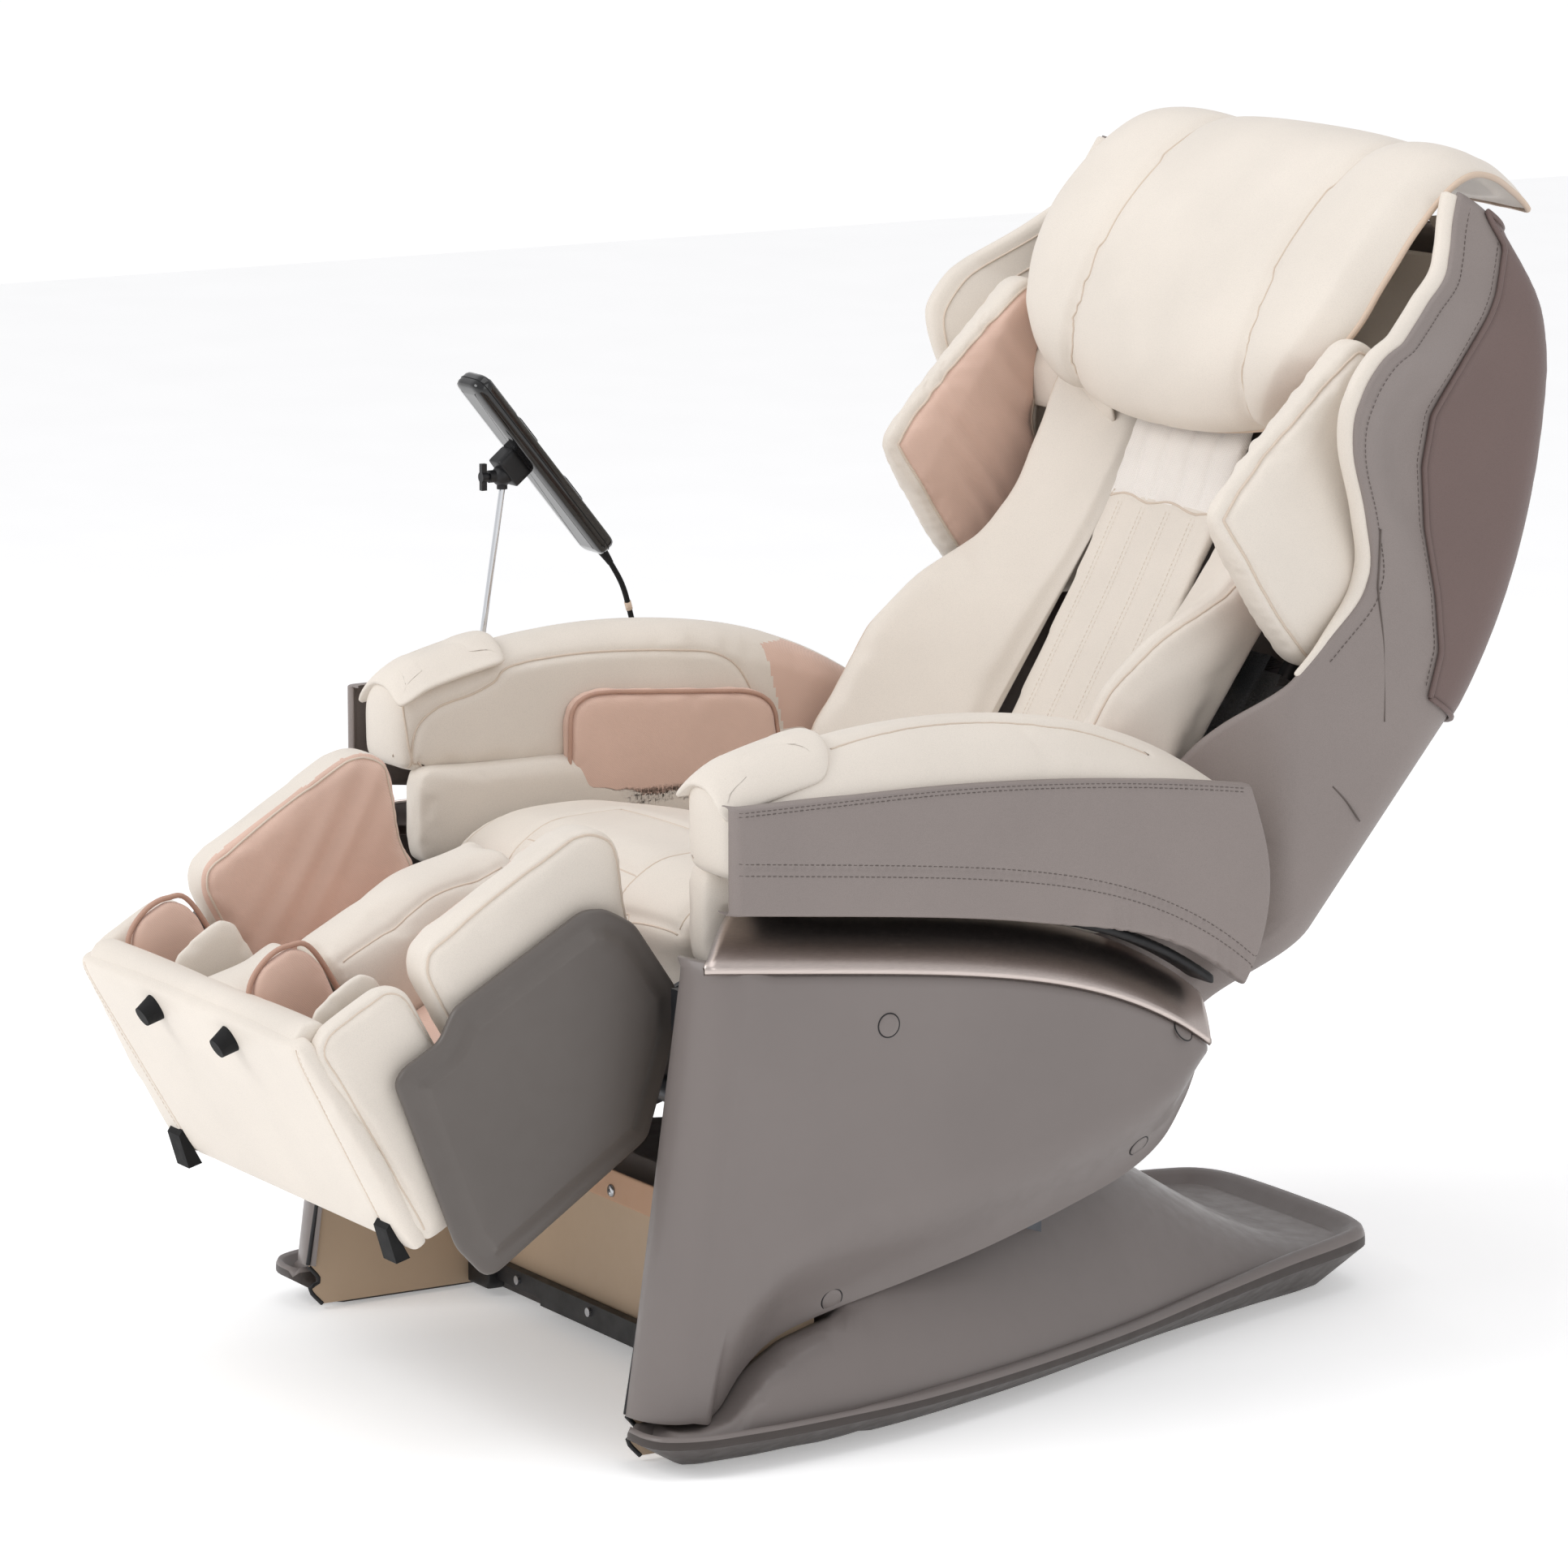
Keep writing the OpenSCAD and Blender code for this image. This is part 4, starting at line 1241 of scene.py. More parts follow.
def arm_shell():
    """The stitched grey outer side of the left armrest."""
    rows, cols = 44, 90
    grid = np.zeros((rows + 6, cols + 8, 3))
    for i in range(rows + 6):
        t = min(1, max(0, (i - 3) / (rows - 1)))
        for j in range(cols + 8):
            s = max(0, (j - 8) / (cols - 1))
            y = -372 + (arm_end(t) + 372) * s
            yc = min(y, 258)
            high, low = arm_side_top(yc) - 2, arm_under(yc) + 1 - 16 * (1 - float(ease(-20, 200, yc)))
            z = high + (low - high) * t
            x = 425.0 + 0.0 * t
            if i < 3:
                x = 425 - (0, 5, 12)[3 - i] if i else 411
                z = high + (1.0, 1.5, 0.5)[2 - i]
            if i > rows + 2:
                k = i - rows - 2
                x = 425 - (0, 3, 12, 24)[k]
                z = low - (0, 2.5, 3, 1)[k]
            if j < 8:
                a = math.pi / 2 * (1 - j / 8)
                x -= 15 * (1 - math.cos(a))
                y -= 13 * math.sin(a)
            grid[i, j] = (x, y, z)
    inner = grid.copy()
    inner[:, :, 0] -= 5
    inner[:, :8, 1] += 4
    outer = world(grid).reshape(grid.shape)
    obj = strip_of((outer, world(inner).reshape(inner.shape)), "arm_side_left")
    refine(obj)
    belly = lambda y: arm_under(min(y, 258)) + 34
    low = [(0.425, y / 1000, belly(y) / 1000) for y in np.linspace(-380, 262, 60)]
    low2 = [(0.425, y / 1000, (belly(y) - 9) / 1000) for y in np.linspace(-380, 262, 60)]
    top = [(0.425, y / 1000, (arm_side_top(y) - 9) / 1000) for y in np.linspace(-380, 236, 60)]
    groove(obj, [np.array(low)], 1.6, 3.5)
    groove(obj, [np.array(top)], 0.8, 3)
    co, n = coords(obj), normals(obj)
    band = ease(-0.05, 0.12, co[:, 1]) * (np.array([belly(y * 1000) / 1000 for y in co[:, 1]])
        - co[:, 2] > 0.012) * (co[:, 0] > 0.415)
    wave = np.sin(co[:, 1] * 2 * math.pi / 0.019 + 1.4 * np.sin(co[:, 1] * 60)) * (0.6
        + 0.4 * np.sin(co[:, 1] * 95))
    set_coords(obj, co + n * (band * wave * 0.0011)[:, None])
    return obj, (top, low, low2)


def arm_core():
    """The left armrest's cream pad."""
    ys = np.linspace(-370, 240, 24)
    outline = [(y, arm_under(y) + 14) for y in ys]
    outline += [(262, 470), (266, 560), (262, 632)]
    outline += [(y, arm_crown(y) - 3) for y in ys[::-1]]
    outline += [(-380, 716), (-383, 690), (-383, arm_under(-380) + 20)]

    def crown(p):
        x, z = p[:, 0], p[:, 2]
        high = np.clip((z - 610) / 110, 0, 1)
        out = np.clip((x - 352) / 58, 0, 1)
        into = np.clip((338 - x) / 38, 0, 1)
        p[:, 2] -= high * (46 * out**1.7 + 20 * into**1.6)
        front = ease(-330, -384, p[:, 1])
        p[:, 0] -= front * 12 * np.clip((x - 352) / 60, 0, 1)
        p[:, 1] += 10 * ease(-340, -384, p[:, 1]) * (np.abs(x - 352) / 55) ** 2
        return p

    return soft("arm_pad_left_cover", rounded(outline, 14, 7), 305, 411, world, voxel=6.5, rounds=9,
        warp=crown, cap=4)


INNER_PANEL = [
    (-352, 556), (-362, 600), (-358, 648), (-332, 672), (-290, 683), (-262, 694), (-236, 710), (-140, 716),
    (-20, 708), (32, 696), (62, 664), (88, 600), (96, 560),
]


def arm_flap():
    """The small padded flap over the front of the armrest."""
    outline = rounded([(-384, 292), (-384, 402), (-262, 402), (-246, 380), (-248, 292)], 16, 5)
    shape = [(y, x) for y, x in outline]
    top = np.array([(x, y, 0) for y, x in shape])
    n = len(top)
    rings = []
    for inward, rise in ((0, -4), (0, 2), (2, 5), (7, 7.5), (16, 9), (30, 9.6), (45, 9.8)):
        ring = inset(top[:, :2], inward)
        rings.append(np.column_stack([ring, np.full(n, rise)]))
    points = np.vstack(rings)
    x, y, h = points.T
    fall = 46 * np.clip((x - 352) / 58, 0, 1) ** 1.7 + 20 * np.clip((338 - x) / 38, 0, 1) ** 1.6
    crown_z = np.array([arm_crown(v) for v in y]) - 1 - fall - 8 * ease(-345, -392, y)
    points = np.column_stack([x, y, crown_z + h])
    faces = []
    for k in range(len(rings) - 1):
        faces += ring_faces(k, n)
    faces += [list(range(n)), [(len(rings) - 1) * n + i for i in range(n)]]
    return refine(outward(add_mesh("arm_flap_left", world(points), faces)))


def hip_pad():
    outline = rounded([(-182, 500), (-182, 662), (-150, 682), (66, 664), (98, 640), (104, 500)], 30, 5)
    return soft("hip_pad_left_cover", outline, 287, 303, world, voxel=4.5, rounds=5, cap=4)


def armrests():
    shell, (top, low, low2) = arm_shell()
    core, flap, hip = arm_core(), arm_flap(), hip_pad()
    skirt = soft("arm_skirt_left", rounded([(-366, 500), (-366, 610), (150, 610), (150, 480), (-300, 490)],
        20, 6), 287, 329, world, voxel=6, rounds=6, cap=4)
    tree = surface(core)
    panel = cord_on(tree, [(0.25, y / 1000, z / 1000) for y, z in INNER_PANEL], (1, 0, 0))[0]
    edge = cord_on(tree, [(0.345, y / 1000, 0.8) for y in np.linspace(-240, 225, 30)], (0.35, 0, -1))[0]
    front = cord_on(tree, [(x / 1000, -0.45, z / 1000) for x, z in ((309, 600), (308, 640), (312, 690))],
        (0, 1, 0))[0]
    groove(core, [panel, edge], 2.4, 5)
    piping = [(0.28, y / 1000, z / 1000)
        for y, z in inset(rounded([(-182, 530), (-182, 662), (-150, 682), (66, 664), (98, 640), (104, 530)], 30,
            5), 7)]
    hip_tree = surface(hip)
    hip_line = cord_on(hip_tree, [p for p in piping if p[2] > 0.537], (1, 0, 0))[0]
    groove(hip, [hip_line], 2.5, 5)
    tree = surface(core)
    parts = [tube_data(laid(tree, line, d)[0], 0.0013, 6)
        for line, d in ((panel, (1, 0, 0)), (edge, (0.35, 0, -1)), (front, (0, 1, 0)))]
    welts = outward(joined("arm_welts_left", parts))
    hip_welt = outward(joined("hip_piping_left", [tube_data(hip_line, 0.0024, 8)]))
    tree = surface(shell)
    rows = []
    for line, shifts in ((top, (0, 4)), (low, (3,)), (low2, (0,))):
        for shift in shifts:
            rows.append(cord_on(tree, [(x + 0.02, y, z + shift / 1000) for x, y, z in line], (-1, 0, 0),
                sink=0.2)[0])
    threads = stitches("arm_stitches_left", rows, 6.5, 0.5)
    for side in ("right", "left"):
        body = f"arm_{side}"
        place(for_side(shell, side), GREY, body, [f"armrest_{side}"])
        pad = for_side(core, side)
        place(pad, [CREAM, PINK], body, [f"arm_pad_{side}"])
        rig.padded(pad, 0.8)
        inner = 1 if side == "left" else -1
        repaint(pad, 1, lambda m, n: (n[:, 0] * inner < -0.3) & (m[:, 1] > 0.085
            + (0.70 - m[:, 2]) * 0.25) & (m[:, 2] < 0.705))
        bag = for_side(hip, side)
        place(bag, PINK, body, [f"hip_pad_{side}"])
        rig.padded(bag, 0.7)
        lower = for_side(skirt, side)
        place(lower, CREAM, body)
        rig.padded(lower, 0.7)
        lid = for_side(flap, side)
        place(lid, CREAM, body)
        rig.padded(lid, 0.5)
        place(for_side(welts, side), CREAM_SEAM, body)
        place(for_side(hip_welt, side), PINK_SEAM, body)
        place(for_side(threads, side), GREY_THREAD, body)


# ---- seat --------------------------------------------------------------------------


def seat():
    outline = rounded(
        [(-334, 443), (-343, 456), (-344, 482), (-360, 504), (-362, 528), (-350, 550), (-300, 569),
            (-200, 571),
         (-100, 553), (0, 523), (78, 498), (118, 484), (118, 443)], 14, 7)

    def saddle(p):
        x = np.abs(p[:, 0]) / 262
        top = np.clip((p[:, 2] - 470) / 60, 0, 1)
        p[:, 2] -= top * (10 * x**4 - 3 * np.cos(math.pi * np.minimum(x, 1)))
        p[:, 1] += 12 * x**5 * ease(-280, -360, p[:, 1])
        return p

    pad = soft("seat_cover", outline, -262, 262, world, voxel=8, rounds=9, warp=saddle, cap=9)
    lip = [(x / 1000, (-352 + 14 * (x / 262) ** 4) / 1000, 0.6) for x in np.linspace(-236, 236, 40)]
    rail = [(s * 0.236, y / 1000, 0.62) for s in (1,) for y in np.linspace(-340, 60, 30)]
    rail2 = [(-x, y, z) for x, y, z in rail]
    cross = [(x / 1000, -0.205, 0.62) for x in np.linspace(-120, 120, 20)]
    wings = [[(s * 0.12, y / 1000, 0.62) for y in np.linspace(-205, -345, 14)] for s in (1, -1)]
    sew(pad, "seat_welts", [lip, rail, rail2, cross, *wings], (0, 0, -1), "base", radius=1.3, depth=2.6,
        width=7)
    place(pad, CREAM, "base", ["seat_cushion"])
    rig.padded(pad, 0.8)


armrests()
seat()

# ---- back --------------------------------------------------------------------------


def bolsters():
    outline = rounded(
        [(-104, 74), (-150, 112), (-156, 150), (-156, 274), (-130, 351), (-80, 431), (-66, 491), (-72, 560),
         (-84, 660), (-24, 660), (-20, 491), (-20, 110), (-56, 72)], 18, 7)

    def slope(p):
        t = np.clip((p[:, 0] - 108) / 132, 0, 1)
        k = 0.06 + 0.94 * (0.75 * t + 0.25 * t * t)
        rest = -20.0
        edge = np.clip((p[:, 0] - 240) / 18, 0, 1)
        p[:, 1] = rest + (p[:, 1] - rest) * k + 10 * edge**2
        return p

    pad = soft("back_bolster_left", outline, 110, 260, back, voxel=7, rounds=8, warp=slope, cap=6)
    rim = [(246, y - 30, z) for y, z in ((-100, 78), (-140, 150), (-150, 274), (-128, 351), (-80, 431),
        (-64, 491), (-70, 560), (-84, 640))]
    tree = surface(pad)
    forward = tuple(back([(0, 1, 0)])[0] - back([(0, 0, 0)])[0])
    line = cord_on(tree, on(back, rim), forward)[0]
    groove(pad, [line], 2.4, 5)
    welt = outward(joined("bolster_welt_left",
        [tube_data(laid(surface(pad), line, forward)[0], 0.0015, 6)]))
    for side in ("right", "left"):
        part = for_side(pad, side)
        place(part, CREAM, "back", [f"back_pad_{side}"])
        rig.padded(part, 0.8)
        place(for_side(welt, side), CREAM_SEAM, "back")


def strip():
    outline = rounded([(-12, 112), (-12, 253), (-22, 420), (-32, 520), (-56, 660), (-44, 664), (-20, 524),
        (-11, 420), (-3, 253), (-3, 112)], 3, 5)

    def belly(p):
        front = p[:, 1] < -4 - 0.02 * p[:, 2]
        p[:, 1] -= front * (4 + 3 * np.cos(p[:, 0] / 106 * math.pi / 2))
        return p

    pad = soft("centre_strip", outline, -109, 109, back, voxel=4.5, rounds=3, warp=belly, cap=3)
    forward = tuple(back([(0, 1, 0)])[0] - back([(0, 0, 0)])[0])
    tree = surface(pad)
    lows = [cord_on(tree, on(back, [(x, -90, z) for z in np.linspace(125, 515, 30)]), forward)[0]
        for x in (-72, -24, 24, 72)]
    highs = [cord_on(tree, on(back, [(x + 4 * math.sin(z / 20), -120, z)
        for z in np.linspace(530, 640, 16)]), forward)[0] for x in (-66, -22, 26, 68)]
    edge = cord_on(tree, on(back, [(x, -90, 522 + 3 * math.sin(x / 14))
        for x in np.linspace(-106, 106, 30)]), forward)[0]
    groove(pad, lows, 1.5, 5)
    groove(pad, highs, 3, 6)
    groove(pad, [edge], 2, 4)
    tree = surface(pad)
    double = []
    for line in lows:
        for dx in (-0.0035, 0.0035):
            double.append(laid(tree, line + np.array([dx, 0, 0]), forward)[0])
    place_strands("strip_welt", [tube_data(laid(tree, edge, forward)[0], 0.0014, 6)], CREAM_SEAM, "back")
    place(stitches("strip_stitches", double, 6, 0.4), CREAM_SEAM, "back")
    place(pad, [CREAM, NECK_MESH], "back", ["back_strip"])
    up = back([(0, 0, 1)])[0] - back([(0, 0, 0)])[0]
    root = back([(0, 0, 0)])[0]
    repaint(pad, 1, lambda m, n: (m - root) @ (up * 1000) > 0.523)
    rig.padded(pad, 0.5)


WING = [
    (0, 388), (-52, 396), (-112, 420), (-188, 458), (-199, 480), (-196, 520), (-188, 570), (-172, 640),
    (-156, 700), (-138, 722), (-104, 716), (-66, 660), (-34, 600), (10, 545), (34, 505), (30, 440),
]


def wings():
    shape = smooth_line(WING, 6, True)

    def lean(p):
        swell = np.clip((p[:, 1] + 200) / 60, 0, 1)
        mid = 325.0
        p[:, 0] = mid + (p[:, 0] - mid) * (0.45 + 0.55 * swell)
        return p

    pad = soft("wing_left_cover", shape, 304, 346, back, voxel=5.5, rounds=7, warp=lean, cap=7)
    ring = inset(shape, 17)
    tree = surface(pad)
    outer = cord_on(tree, on(back, with_x(380, ring)), (-1, 0, 0), closed=True)[0]
    inner = cord_on(tree, on(back, with_x(270, ring)), (1, 0, 0), closed=True)[0]
    groove(pad, [outer, inner], 2.6, 5)
    across = back([(0, 0.45, 1)])[0] - back([(0, 0, 0)])[0]
    centre = back([(0, -110, 545)])[0]
    folds(pad, lambda co, n: (n[:, 0] < -0.35) * np.exp(-(((co
        - centre) @ (across / np.linalg.norm(across))) / 0.09) ** 4), across, 30, 2.4, 2)
    tree = surface(pad)
    outer, inner = laid(tree, outer, (-1, 0, 0))[0], laid(tree, inner, (1, 0, 0))[0]
    welts = outward(joined("wing_welts_left", [tube_data(outer, 0.0016, 6, True),
        tube_data(inner, 0.0016, 6, True)]))
    root = back([(0, 0, 0)])[0]
    y_dir = (back([(0, 1, 0)])[0] - root) * 1000
    z_dir = (back([(0, 0, 1)])[0] - root) * 1000
    inside = inside_of(ring)
    for side, sign in (("right", -1), ("left", 1)):
        part = for_side(pad, side)
        place(part, [CREAM, PINK], "back", [f"wing_{side}"])
        repaint(part, 1, lambda m, n: (n[:, 0] * sign < -0.15) & inside((m - root) @ y_dir * 1000,
            (m - root) @ z_dir * 1000))
        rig.padded(part, 0.7)
        place(for_side(welts, side), CREAM_SEAM, "back")


def shoulder_lining():
    """Cream cloth that closes the gap between the head pillow and the back's wrap."""
    levels = np.linspace(600, 872, 24)

    def depth(z):
        return np.array([wrap_front(v) for v in np.atleast_1d(z)]) + 74

    edge = [(float(half_width(wrap_front(z) + 74, z)) - 9, z) for z in levels]
    line = even(np.array(edge + [(150, 872), (150, 600), edge[0]]), 9, True)

    def low(p, d):
        return depth(p[:, 1]) + 0.05 * (310 - p[:, 0])

    def high(p, d):
        return low(p, d) + 4

    for side, sign in SIDES.items():
        def to_back(p, sign=sign):
            return back(np.column_stack([sign * p[:, 0], p[:, 2], p[:, 1]]))

        place(relief(f"shoulder_lining_{side}", line, low, high, [5, 10], 16, to_back), CREAM, "back")


def guards():
    """Cream linings inside the flared shoulders, rolled over the front edge of the grey sides."""
    levels = np.linspace(372, 908, 78)
    path = [(3, 10), (3, -2), (7, -11), (15, -14), (24, -10), (30, 4), (34, 34), (38, 76), (44, 120),
        (60, 160), (96, 190), (140, 200)]
    outer, inner = [], []
    for z in levels:
        front, fade = wrap_front(z), 0.35 + 0.65 * float(ease(372, 520, z))
        room = back_rear(z) - 60 * float(ease(840, 925, z)) ** 2 - front - 40
        steps = [(dx, min(dy, room - (200 - dy) * 0.1)) for dx, dy in path]
        outer.append([(float(half_width(front + max(dy, 0), z)) - dx * fade - 1, front + dy * fade, z)
            for dx, dy in steps])
        inner.append([
            (float(half_width(front + max(dy, 2), z)) - max(4, dx * fade * (dy > 30) - 6), front
                + max(dy * fade, 2) + 2 + 4 * (dy > 100), z)
            for dx, dy in steps
        ])
    grids = [back(np.array(g).reshape(-1, 3)).reshape(len(levels), len(path), 3) for g in (outer, inner)]
    pad = strip_of(grids, "side_guard_left")
    refine(pad)
    welts = []
    for k in (5, 6):
        line = smooth_line(grids[0][4:-2, k], 0.006)
        welts.append(line)
    groove(pad, welts, 1.6, 5)
    seam = outward(joined("guard_welts_left", [tube_data(laid(surface(pad), w, (1, 0, 0))[0], 0.0013, 6)
        for w in welts]))
    for side in ("right", "left"):
        part = for_side(pad, side)
        place(part, CREAM, "back")
        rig.padded(part, 0.6)
        place(for_side(seam, side), CREAM_SEAM, "back")


bolsters()
strip()
wings()


# ---- back shell, head pillow -----------------------------------------------------


def half_width(y, z):
    """Half the width of the back: narrow between the armrests, wide at the shoulders, flared in front."""
    reach = 160 + 0.8387 * np.asarray(y, float) + 0.5446 * z
    flare = np.interp(z, [500, 560, 645, 720, 780, 840], [0, 22, 56, 54, 22, 0])
    flare = flare * (1 - ease(0, 120, np.asarray(y, float) - wrap_front(z)))
    return 281 + 94 * ease(245, 335, reach) - 30 * float(ease(800, 935, z)) + flare


WRAP_FRONT = smooth_line(
    [(-44, 40), (-46, 150), (-46, 270), (-38, 337), (-14, 424), (-4, 499), (-58, 552), (-124, 598),
        (-158, 641),
     (-158, 690), (-142, 725), (-118, 780), (-101, 831), (-110, 880), (-116, 918)], 6)


def wrap_front(z):
    return float(np.interp(z, WRAP_FRONT[:, 1], WRAP_FRONT[:, 0]))


def shell_section(z, grow=0.0):
    """One level of the back's shell from the left front edge round to the middle of the rear, as (x, y)."""
    rear, front = back_rear(z) + grow - 60 * float(ease(840, 925, z)) ** 2, wrap_front(z)
    corner = min(62, 0.6 * (rear - front))
    ys = front + 4 + (rear - corner - front - 4) * np.linspace(0, 1, 17)
    first = float(half_width(front, z)) + grow
    side = [(first - 9, front + 1), (first - 3, front - 1)]
    side += [(float(half_width(y, z)) + grow + 2.5 * math.sin(math.pi * k / 16), y)
        for k, y in enumerate(ys)]
    w = side[-1][0]
    turn = [(w - corner * (1 - math.cos(a)) * 1.15, rear - corner + corner * math.sin(a))
        for a in np.linspace(0.12, math.pi / 2, 12)]
    last = turn[-1][0]
    across = [(last * (1 - t), rear + 7 * math.sin(t * math.pi / 2)) for t in np.linspace(0.08, 1, 12)]
    return np.array(side + turn + across)


def shell_grid(levels, grow=0.0, first=0):
    rows = []
    for z in levels:
        half = shell_section(z, grow)[first:]
        rows.append(np.vstack([
            np.column_stack([half, np.full(len(half), z)]),
            np.column_stack([-half[::-1, 0][1:], half[::-1, 1][1:], np.full(len(half) - 1, z)]),
        ]))
    return np.array(rows)


def pushed_in(grid, distance):
    """A grid moved along its own normals."""
    a, b = np.gradient(grid, axis=0), np.gradient(grid, axis=1)
    n = np.cross(a, b)
    n /= np.maximum(np.linalg.norm(n, axis=2), 1e-9)[..., None]
    middle = grid.reshape(-1, 3).mean(0)
    if np.mean(np.sum(n * (grid - middle), axis=2)) < 0:
        n = -n
    return grid - n * distance


def panel_edge(z):
    """Front edge of the dark rear panel on the side, as a distance y."""
    points = [(40, 168), (300, 150), (430, 135), (482, 118), (530, 78), (583, 25), (637, -16), (687, -36),
        (758, -36), (839, -30), (900, -40)]
    zs, ys = zip(*points)
    return float(np.interp(z, zs, ys))


def back_shell():
    levels = np.linspace(22, 912, 120)
    grid = shell_grid(levels)
    inner = pushed_in(grid, 6)
    outer = back(grid.reshape(-1, 3)).reshape(grid.shape)
    obj = strip_of((outer, back(inner.reshape(-1, 3)).reshape(grid.shape)), "back_side_wrap")
    place(obj, GREY, "back", ["back_wrap_left", "back_wrap_right", "back_shell"])
    rear_levels = levels[(levels >= 428)]
    panel = []
    for z in rear_levels:
        half = shell_section(z, 3.0)
        edge = panel_edge(z)
        gaps = np.concatenate([[0], np.cumsum(np.linalg.norm(np.diff(half, axis=0), axis=1))])
        start = np.interp(edge, half[2:19, 1], gaps[2:19])
        at = np.linspace(start, gaps[-1], 44)
        row = np.column_stack([np.interp(at, gaps, half[:, 0]), np.interp(at, gaps, half[:, 1]),
            np.full(44, z)])
        panel.append(np.vstack([row, np.column_stack([-row[::-1, 0][1:], row[::-1, 1:][1:]])]))
    panel = np.array(panel)
    under = pushed_in(panel, 2.6)
    obj = strip_of((back(panel.reshape(-1, 3)).reshape(panel.shape),
        back(under.reshape(-1, 3)).reshape(panel.shape)), "back_rear_panel")
    place(obj, BROWN, "back")
    edges = [panel[:, 0], panel[:, -1], panel[0], panel[-1]]
    beads = [tube_data(back(smooth_line(line, 7)), 0.0032, 8) for line in edges]
    place_strands("rear_panel_piping", beads, BROWN, "back")
    rows, cream = [], []
    for sign in (1, -1):
        front = np.array([(sign * (float(half_width(wrap_front(z) + 16, z)) + 1.4), wrap_front(z) + 16, z)
            for z in levels[levels > 400]])
        rows.append(back(front))
        mark = np.array([(sign * (float(half_width(panel_edge(z) - 9, z)) + 2.6), panel_edge(z) - 9, z)
            for z in levels[(levels > 440) & (levels < 905)]])
        rows.append(back(mark))
        for points in ([(-37, 550), (16, 490), (51, 449), (96, 384)], [(75, 294), (100, 289), (128, 279)]):
            seam = [(sign * (float(half_width(y, z)) + 1.6), y, z) for y, z in smooth_line(points, 8)]
            cream.append(back(np.array(seam)))
    place(stitches("back_wrap_stitches", rows, 6.5, 0.5), GREY_THREAD, "back")
    place_strands("back_wrap_seams", [tube_data(line, 0.001, 6) for line in cream], GREY_THREAD, "back")


PILLOW_LINE = [
    (-62, 608), (-92, 622), (-119, 656), (-134, 716), (-140, 786), (-132, 848), (-116, 902), (-96, 942),
    (-68, 966),
    (-26, 980), (14, 985), (44, 985), (68, 982),
]


def pillow_half(s):
    """Half width of the head pillow at a share s of its length from the hem."""
    places = [0, 0.04, 0.1, 0.2, 0.3, 0.42, 0.55, 0.7, 0.8, 0.9, 1.0]
    widths = [206, 230, 262, 296, 322, 328, 322, 306, 286, 250, 222]
    return float(np.interp(s, places, widths))


def head_pillow():
    """A long pad in three panels, from its hem up and over the top of the back."""
    spine = smooth_line(PILLOW_LINE, 7)
    n = len(spine)
    share = np.linspace(0, 1, n)
    widths = np.array([pillow_half(s) for s in share])
    for _ in range(4):
        widths[1:-1] = (widths[:-2] + 2 * widths[1:-1] + widths[2:]) / 4
    tangent = np.gradient(spine, axis=0)
    tangent /= np.linalg.norm(tangent, axis=1)[:, None]
    out = np.column_stack([-tangent[:, 1], tangent[:, 0]])
    cols = 97
    u = np.linspace(-1, 1, cols)
    front, rear = np.zeros((n, cols, 3)), np.zeros((n, cols, 3))
    for i in range(n):
        x = widths[i] * np.sin(u * math.pi / 2)
        x = 0.35 * x + 0.65 * widths[i] * u
        seam = 170.0 - 6 * share[i]
        end = min(1, share[i] / 0.05, (1 - share[i]) / 0.03)
        rim = np.clip((widths[i] - np.abs(x)) / 34, 0, 1) ** 0.5
        main = np.clip(1 - (x / seam) ** 4, 0, 1) * 9
        gap = np.clip(widths[i] - seam, 1, None)
        lobe = np.clip((np.abs(x) - seam) / gap, 0, 1)
        puffy = 13 * np.sin(math.pi * lobe) ** 0.8 * np.clip(gap / 90, 0, 1)
        pinch = 5 * np.exp(-(((np.abs(x) - seam) / 7) ** 2)) * min(1, gap / 30)
        thin = 1 - 0.72 * float(ease(0.62, 0.8, share[i]))
        h = (8 + (12 + main + puffy) * thin) * rim * math.sqrt(max(0.02, end)) - pinch * thin
        sag = 34 * (np.abs(x) / 310) ** 4 * (1 - share[i])
        lift = -10 * (x / 250) ** 2 * float(ease(0.55, 0.9, share[i]))
        base = spine[i]
        yz = base[None, :] + out[i][None, :] * (h + lift - sag * 0.4)[:, None]
        bottom_curve = (18 * (x / 165) ** 2).clip(0, 44) * (1 - min(1, share[i] / 0.2))
        front[i] = np.column_stack([x, yz[:, 0], yz[:, 1] + bottom_curve])
        low = base[None, :] + out[i][None, :] * (lift - sag * 0.4 - 2.5 * rim)[:, None]
        rear[i] = np.column_stack([x, low[:, 0], low[:, 1] + bottom_curve])
    obj = strip_of((back(front.reshape(-1, 3)).reshape(front.shape),
        back(rear.reshape(-1, 3)).reshape(rear.shape)), "head_pillow_cover")
    relax(obj, 2, 0.4)
    puff(obj, 4)
    return obj, front


